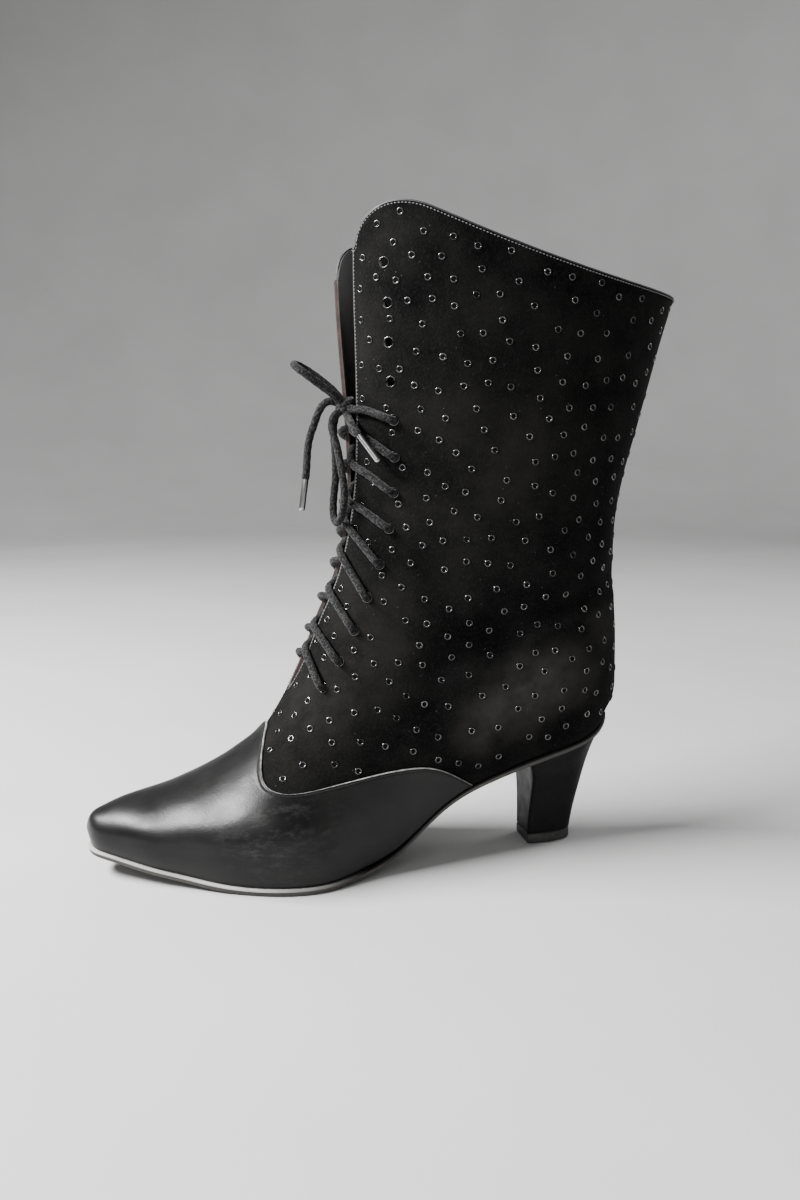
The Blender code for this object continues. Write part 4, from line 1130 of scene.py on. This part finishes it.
def slab(profile, crown_top, crown_under, edge_bands=0, across=9):
    """Rings of an outline from its upper middle over the edge to its lower middle, with caps.

    Profile rows are the outline's growth and drop; edge_bands of the bands get the second finish.
    """
    loops = [outline(grow, drop) for grow, drop in profile]
    count = len(loops[0])
    points = np.concatenate(loops)
    faces = band_faces(range(len(loops)), count)
    tags = [1] * (edge_bands * count) + [0] * (len(faces) - edge_bands * count)
    share = np.linspace(0.0, 1.0, across + 1)[None, :, None]
    for first, crown, turn in ((0, crown_top, 1), (len(points) - count, crown_under, -1)):
        left = points[first:first + SOLE_STEPS + 1]
        right = np.concatenate((left[:1], points[first + count - 1:first + SOLE_STEPS:-1], left[-1:]))
        cap = left[:, None] * (1.0 - share) + right[:, None] * share
        cap[..., 2] += crown * (4.0 * share * (1.0 - share))[..., 0]
        cap_faces = grid_faces(SOLE_STEPS + 1, across + 1, len(points))
        faces += [face[::turn] for face in cap_faces]
        tags += [0] * len(cap_faces)
        points = np.concatenate((points, cap.reshape(-1, 3)))
    return points, faces, tags


SOLE_PROFILE = (
    (ledge - 4.5, GAP), (ledge - 0.9, GAP), (ledge - 0.35, GAP + 0.05), (ledge - 0.08, GAP + 0.25),
    (ledge, GAP + 0.45), (ledge, GAP + 1.05), (ledge - 0.12, GAP + 1.2), (ledge - 0.25, GAP + 2.3),
    (ledge - 0.5, GAP + 2.85), (ledge - 1.1, GAP + 3.0), (ledge - 4.0, GAP + 3.0),
)
INSOLE_PROFILE = (
    (-INSOLE_INSET - 3.0, -INSOLE_THICKNESS - 0.1), (-INSOLE_INSET - 0.5, -INSOLE_THICKNESS),
    (-INSOLE_INSET, -INSOLE_THICKNESS + 0.5), (-INSOLE_INSET, -0.1), (-INSOLE_INSET - 3.0, -0.1),
)
add_piece("sole_unit", slab(SOLE_PROFILE, 0.0, 0.0, 5), (sole_leather, sole_edge),
          ("outsole",), weld=0.002, sharp=35)
add_piece("insole_cover", slab(INSOLE_PROFILE, -0.5, 0.0), insole_leather,
          ("insole",), weld=0.002, sharp=50)

# Heel: share of its height and inset of each ring, and height and inset of the lift's
HEEL_RINGS = ((0.0, 0.5), (0.004, 0.15), *((share, 0.0) for share in np.linspace(0.015, 1.0, 52)))
LIFT_RINGS = ((0.0, 0.7), (0.25, 0.2), (0.7, 0.0), (4.3, 0.0), (4.7, 0.15), (TOP_PIECE_HEIGHT, 0.6))
HEEL_BASE = TOP_PIECE_HEIGHT + 0.15
seat_line = edge_at(np.linspace(0.0, HEEL_STATION, 400))[::-1]
heel_curve = natural_spline([row[0] for row in HEEL], np.array(HEEL)[:, 1:])


def heel_ring(share_up, inset, count=96):
    """Plan of the heel with small rounded breast corners, drawn in by an inset."""
    breast, back, half = heel_curve(share_up)
    turn = np.linspace(-math.pi / 2.0, math.pi / 2.0, 241)
    power = 2.0 / HEEL_ROUNDNESS
    x = breast - (breast - back) * np.abs(np.cos(turn)) ** power
    y = half * np.sign(np.sin(turn)) * np.abs(np.sin(turn)) ** power
    loop = np.stack((x, y), axis=-1)
    loop = np.concatenate((loop, loop[:1]))
    run = arc_lengths(loop)
    ring = read_along(np.linspace(0.0, run[-1], count, endpoint=False), run, loop)
    for _ in range(2):
        ring = 0.5 * ring + 0.25 * (np.roll(ring, 1, axis=0) + np.roll(ring, -1, axis=0))
    middle = np.array([0.5 * (breast + back), 0.0])
    return middle + (ring - middle) * (1.0 - inset / half)


heel_rings = []
for share_up, inset in HEEL_RINGS:
    plan = heel_ring(share_up, inset)
    seat = np.interp(plan[:, 0], seat_line[:, 0], seat_line[:, 1]) - GAP - SOLE_THICKNESS
    heel_rings.append(np.column_stack((plan, HEEL_BASE + share_up * (seat - 0.05 - HEEL_BASE))))
add_piece("heel_leather", stacked(heel_rings), heel_leather, ("heel",), weld=0.002, sharp=40)
lift_rings = [np.insert(heel_ring(0.0, inset), 2, z, axis=1) for z, inset in LIFT_RINGS]
add_piece("heel_lift", stacked(lift_rings), rubber, ("heel_top_piece",), weld=0.002, sharp=40)

# Lace
BRAID_CELL = 2.2
BRAID_AROUND = 3
BRAID_DEPTH = 0.20
LACE_SIDES = 24
LACE_STEP = 0.45
LACE_OVER = LACE_DIAMETER / 2.0 + 0.45
LACE_INSIDE = -(WALL + LACE_DIAMETER / 2.0 + 0.3)
BOTTOM_ROW = 12
KNOT_ROW = 4
ACROSS_RISE = {1: 0.38, -1: 0.16}
KNOT_STEPS = 70
KNOT_TURNS = 1.75
KNOT_HALF = (2.8, 2.9, 1.9)
KNOT_TILT = 0.36
knot = np.array(KNOT_CENTRE)


def smooth_path(points):
    """Evenly spaced points on a smooth curve through a few points."""
    points = np.asarray(points, float)
    run = arc_lengths(points)
    return evenly(natural_spline(run, points)(np.linspace(0.0, run[-1], 40 * len(points))), LACE_STEP)


def lace_piece(name, path, stands_for):
    """A length of round lace along a path, with the diamonds of its braid."""
    along = unit(np.gradient(path, axis=0))
    around = BRAID_AROUND * np.linspace(0.0, 2.0 * math.pi, LACE_SIDES, endpoint=False)
    side_way = np.cross(along[0], (0.31, 0.87, 0.38))
    points = []
    for centre, way, length in zip(path, along, arc_lengths(path)):
        side_way = unit(side_way - np.dot(side_way, way) * way)
        slant = math.pi * length / (2.0 * BRAID_CELL)
        diamond = np.abs(np.cos(around + slant) * np.cos(around - slant))
        radius = LACE_DIAMETER / 2.0 - BRAID_DEPTH + 1.3 * BRAID_DEPTH * np.sqrt(diamond)
        points.extend(centre + circle(side_way, np.cross(way, side_way), LACE_SIDES) * radius[:, None])
    return add_piece(name, (points, tube_faces(len(path), LACE_SIDES)), cotton, stands_for)


def hole_at(row, side, lift):
    return lifted(*hole_places[side][row], side, lift)


def lace_crossing(row, side):
    """Out of a hole, over the quarter's edge, across the slit, under the other quarter to its next hole."""
    station, around = hole_places[side][row]
    next_station, next_around = hole_places[-side][row - 1]
    above = hole_places[side][row - 1][0] - station
    meet = LACE_EDGES[BOTTOM_ROW - row][0 if side > 0 else 1]
    rise = ACROSS_RISE[side]
    edge = float(throat_around(station + meet * above, side))
    toward = [lifted(station + share * meet * above, around + (edge - around) * share, side,
                     LACE_OVER - 0.2 * share) for share in (0.30, 0.62, 0.93)]
    over = lifted(station + (meet + 0.15 * rise) * above, 0.52 * edge, side, 0.5)
    crossing = station + (meet + 0.5 * rise) * above
    middle = 0.5 * (lifted(crossing, 0.0, 1, -1.7) + lifted(crossing, 0.0, -1, -1.7))
    far = station + (meet + rise) * above
    far_edge = float(throat_around(far, -side))
    dive = lifted(far, 0.70 * far_edge, -side, -3.4)
    under = lifted(far + 0.4 * (next_station - far), far_edge + 0.4 * (next_around - far_edge), -side,
                   LACE_INSIDE)
    return [hole_at(row, side, -0.9), hole_at(row, side, 1.3), *toward, over, middle, dive, under,
            hole_at(row - 1, -side, LACE_INSIDE)]


def lace_side(side):
    """One half of the lace from the inside of its lowest hole to its place beside the knot."""
    points = [hole_at(BOTTOM_ROW, side, LACE_INSIDE)]
    for row in range(BOTTOM_ROW, KNOT_ROW, -1):
        points += lace_crossing(row, side)
        side = -side
    station, around = hole_places[side][KNOT_ROW]
    edge_station = station_of_top(KNOT_CENTRE[2])
    edge = float(throat_around(edge_station, side))
    points += [hole_at(KNOT_ROW, side, -0.9), hole_at(KNOT_ROW, side, 1.3)]
    points += [lifted(station + (edge_station - station) * share, around + (edge - around) * share, side,
                      LACE_OVER) for share in (0.35, 0.70, 1.0)]
    return [*points, knot + (-0.6, 1.6 * side, 0.0)]


bar = 0.5 * sum(lifted(hole_places[side][BOTTOM_ROW][0], 0.0, side, LACE_INSIDE) for side in SIDES)
crossings = [f"lace_cross_{number}" for number in range(1, 9)]
lace_piece("lace_threaded", smooth_path(lace_side(-1)[::-1] + [bar] + lace_side(1)),
           (*crossings, "lace_top_outer", "lace_top_inner"))

knot_turn = np.linspace(-0.6, -0.6 + 2.0 * math.pi * KNOT_TURNS, KNOT_STEPS)
winding = KNOT_HALF * np.stack(
    (np.cos(knot_turn), np.sin(knot_turn), np.linspace(-1.0, 1.0, KNOT_STEPS)), axis=-1)
winding[:, 2] -= KNOT_TILT * winding[:, 0]
lace_piece("lace_knot_winding", evenly(winding + knot, LACE_STEP), ("lace_knot",))


def aglet_piece(name, ends, node_name, sides=32):
    """Rolled metal tip with a crimped mouth, a lapped seam and a closed round end."""
    start, end = np.array(ends)
    length = np.linalg.norm(end - start)
    way = unit(end - start)
    side_way = unit(np.cross(way, (0.2, 0.9, 0.1)))
    past_seam = np.linspace(0.0, 2.0 * math.pi, sides, endpoint=False) - math.pi
    lap = 0.10 * np.exp(-(past_seam / 0.16) ** 2) * np.sign(past_seam + 1e-6)
    ring = circle(side_way, np.cross(way, side_way), sides)
    shape = (
        (0.0, 0.80), (0.0, 1.02), (0.25, 1.06), (0.6, 1.00), (1.5, 0.98), (2.0, 0.90), (2.5, 0.98),
        (length * 0.5, 0.97), (length - 1.6, 0.95), (length - 0.7, 0.90), (length - 0.2, 0.74), (length, 0.45),
    )
    radius = AGLET_DIAMETER / 2.0
    rings = [start + way * along + (radius * (wide + lap))[:, None] * ring for along, wide in shape]
    return add_piece(name, stacked(rings), aglet_metal, (node_name,), weld=0.001, sharp=45)


def into_tip(aglet):
    """A point a little way inside a tip's mouth."""
    return np.array(aglet[0]) + 0.12 * (np.array(aglet[1]) - np.array(aglet[0]))


aglet_right = aglet_piece("aglet_right_tip", AGLET_RIGHT, "aglet_right")
aglet_left = aglet_piece("aglet_left_tip", AGLET_LEFT, "aglet_left")

# The bow: a loop that hangs back into the knot, a strand to the left tip, and a loop that runs on to the
# right tip. Columns: name, way, far end, tips, nodes it stands for, length in metres.
BOW = (
    ("lace_bow_down", [knot + (1.6, 1.4, -1.4), *LOOP_DOWN,
                       knot + (3.2, -1.6, -3.0), knot + (1.0, -0.8, -0.8)],
     "object", [], ("lace_loop_down",), 0.113),
    ("lace_strand_left", [knot + (0.4, -0.6, 0.0), knot + (3.8, -1.2, 1.6), *END_LEFT, into_tip(AGLET_LEFT)],
     "fitting", [aglet_left], ("lace_end_left",), 0.045),
    ("lace_bow_up", [knot + (1.0, -1.4, 1.6), *LOOP_UP, knot + (2.2, 1.5, 1.3), knot + (0.5, 2.1, -1.9),
                     *END_RIGHT, into_tip(AGLET_RIGHT)],
     "fitting", [aglet_right], ("lace_loop_up", "lace_end_right"), 0.082),
)
for name, way, far_end, tips, stands_for, length in BOW:
    route = smooth_path(way)
    strand = lace_piece(name, route, stands_for)

# Floor, lights and camera; the floor is a bowl, given by radius and height
BOWL_SIDES = 96
FLOOR_DROP = 0.3
bend = np.linspace(0.0, math.pi / 2.0, 13)
bowl_line = [(0.0, 0.0), (800.0, 0.0), *zip(1600.0 + 900.0 * np.sin(bend), 900.0 - 900.0 * np.cos(bend)),
             (2500.0, 2600.0)]
bowl_ring = circle((1.0, 0.0, 0.0), (0.0, 1.0, 0.0), BOWL_SIDES)
bowl_points = np.concatenate([radius * bowl_ring + (0.0, 0.0, z - FLOOR_DROP) for radius, z in bowl_line])
paper = new_finish("studio_paper", (0.62, 0.62, 0.615), 0.85, tone=(
    (6.0, 3.0), 0.3, 0.7, (0.50, 0.50, 0.497), (0.54, 0.54, 0.537)))
bowl_faces = band_faces(range(len(bowl_line)), BOWL_SIDES)
new_object("studio_bowl", bowl_points, bowl_faces, finishes=(paper,))

world = bpy.data.worlds.new("studio_air")
bpy.context.scene.world = world
world.use_nodes = True
world.node_tree.nodes["Background"].inputs["Color"].default_value = (0.80, 0.81, 0.82, 1.0)
world.node_tree.nodes["Background"].inputs["Strength"].default_value = 0.24

# Soft lights, in metres: name, place, aim, size, power.
LIGHTS = (
    ("window", (0.98, 0.00, 0.90), (0.15, 0.02, 0.05), (0.85, 0.22), 70.0),
    ("front_left", (0.75, 1.0, 0.75), (0.05, 0.0, 0.14), (0.8, 0.8), 4.0),
    ("back_rim", (-0.9, -0.4, 0.7), (-0.02, 0.0, 0.15), (0.5, 0.8), 4.0),
)
for name, place, aim, size, power in LIGHTS:
    light = bpy.data.lights.new(name, "AREA")
    light.shape = "RECTANGLE"
    light.size, light.size_y = size
    light.energy = power
    made = bpy.data.objects.new(name, light)
    made.location = Vector(place)
    made.rotation_euler = (Vector(aim) - Vector(place)).to_track_quat("-Z", "Y").to_euler()
    made.visible_camera = False
    bpy.context.scene.collection.objects.link(made)

yaw = math.radians(CAMERA_YAW)
pitch = math.radians(CAMERA_PITCH)
right = Vector((-math.cos(yaw), math.sin(yaw), 0.0))
look = Vector((-math.sin(yaw) * math.cos(pitch), -math.cos(yaw) * math.cos(pitch), -math.sin(pitch)))
camera = bpy.data.objects.new("photo_camera", bpy.data.cameras.new("photo_camera"))
bpy.context.scene.collection.objects.link(camera)
turned = Matrix((right, right.cross(look), -look)).transposed().to_4x4()
turned.translation = Vector(CAMERA_PLACE) * MM
camera.matrix_world = turned
camera.data.sensor_width = 36.0
camera.data.lens = 36.0 * FOCAL_PIXELS / max(PHOTO_SIZE)
camera.data.clip_start = 0.01
bpy.context.scene.camera = camera
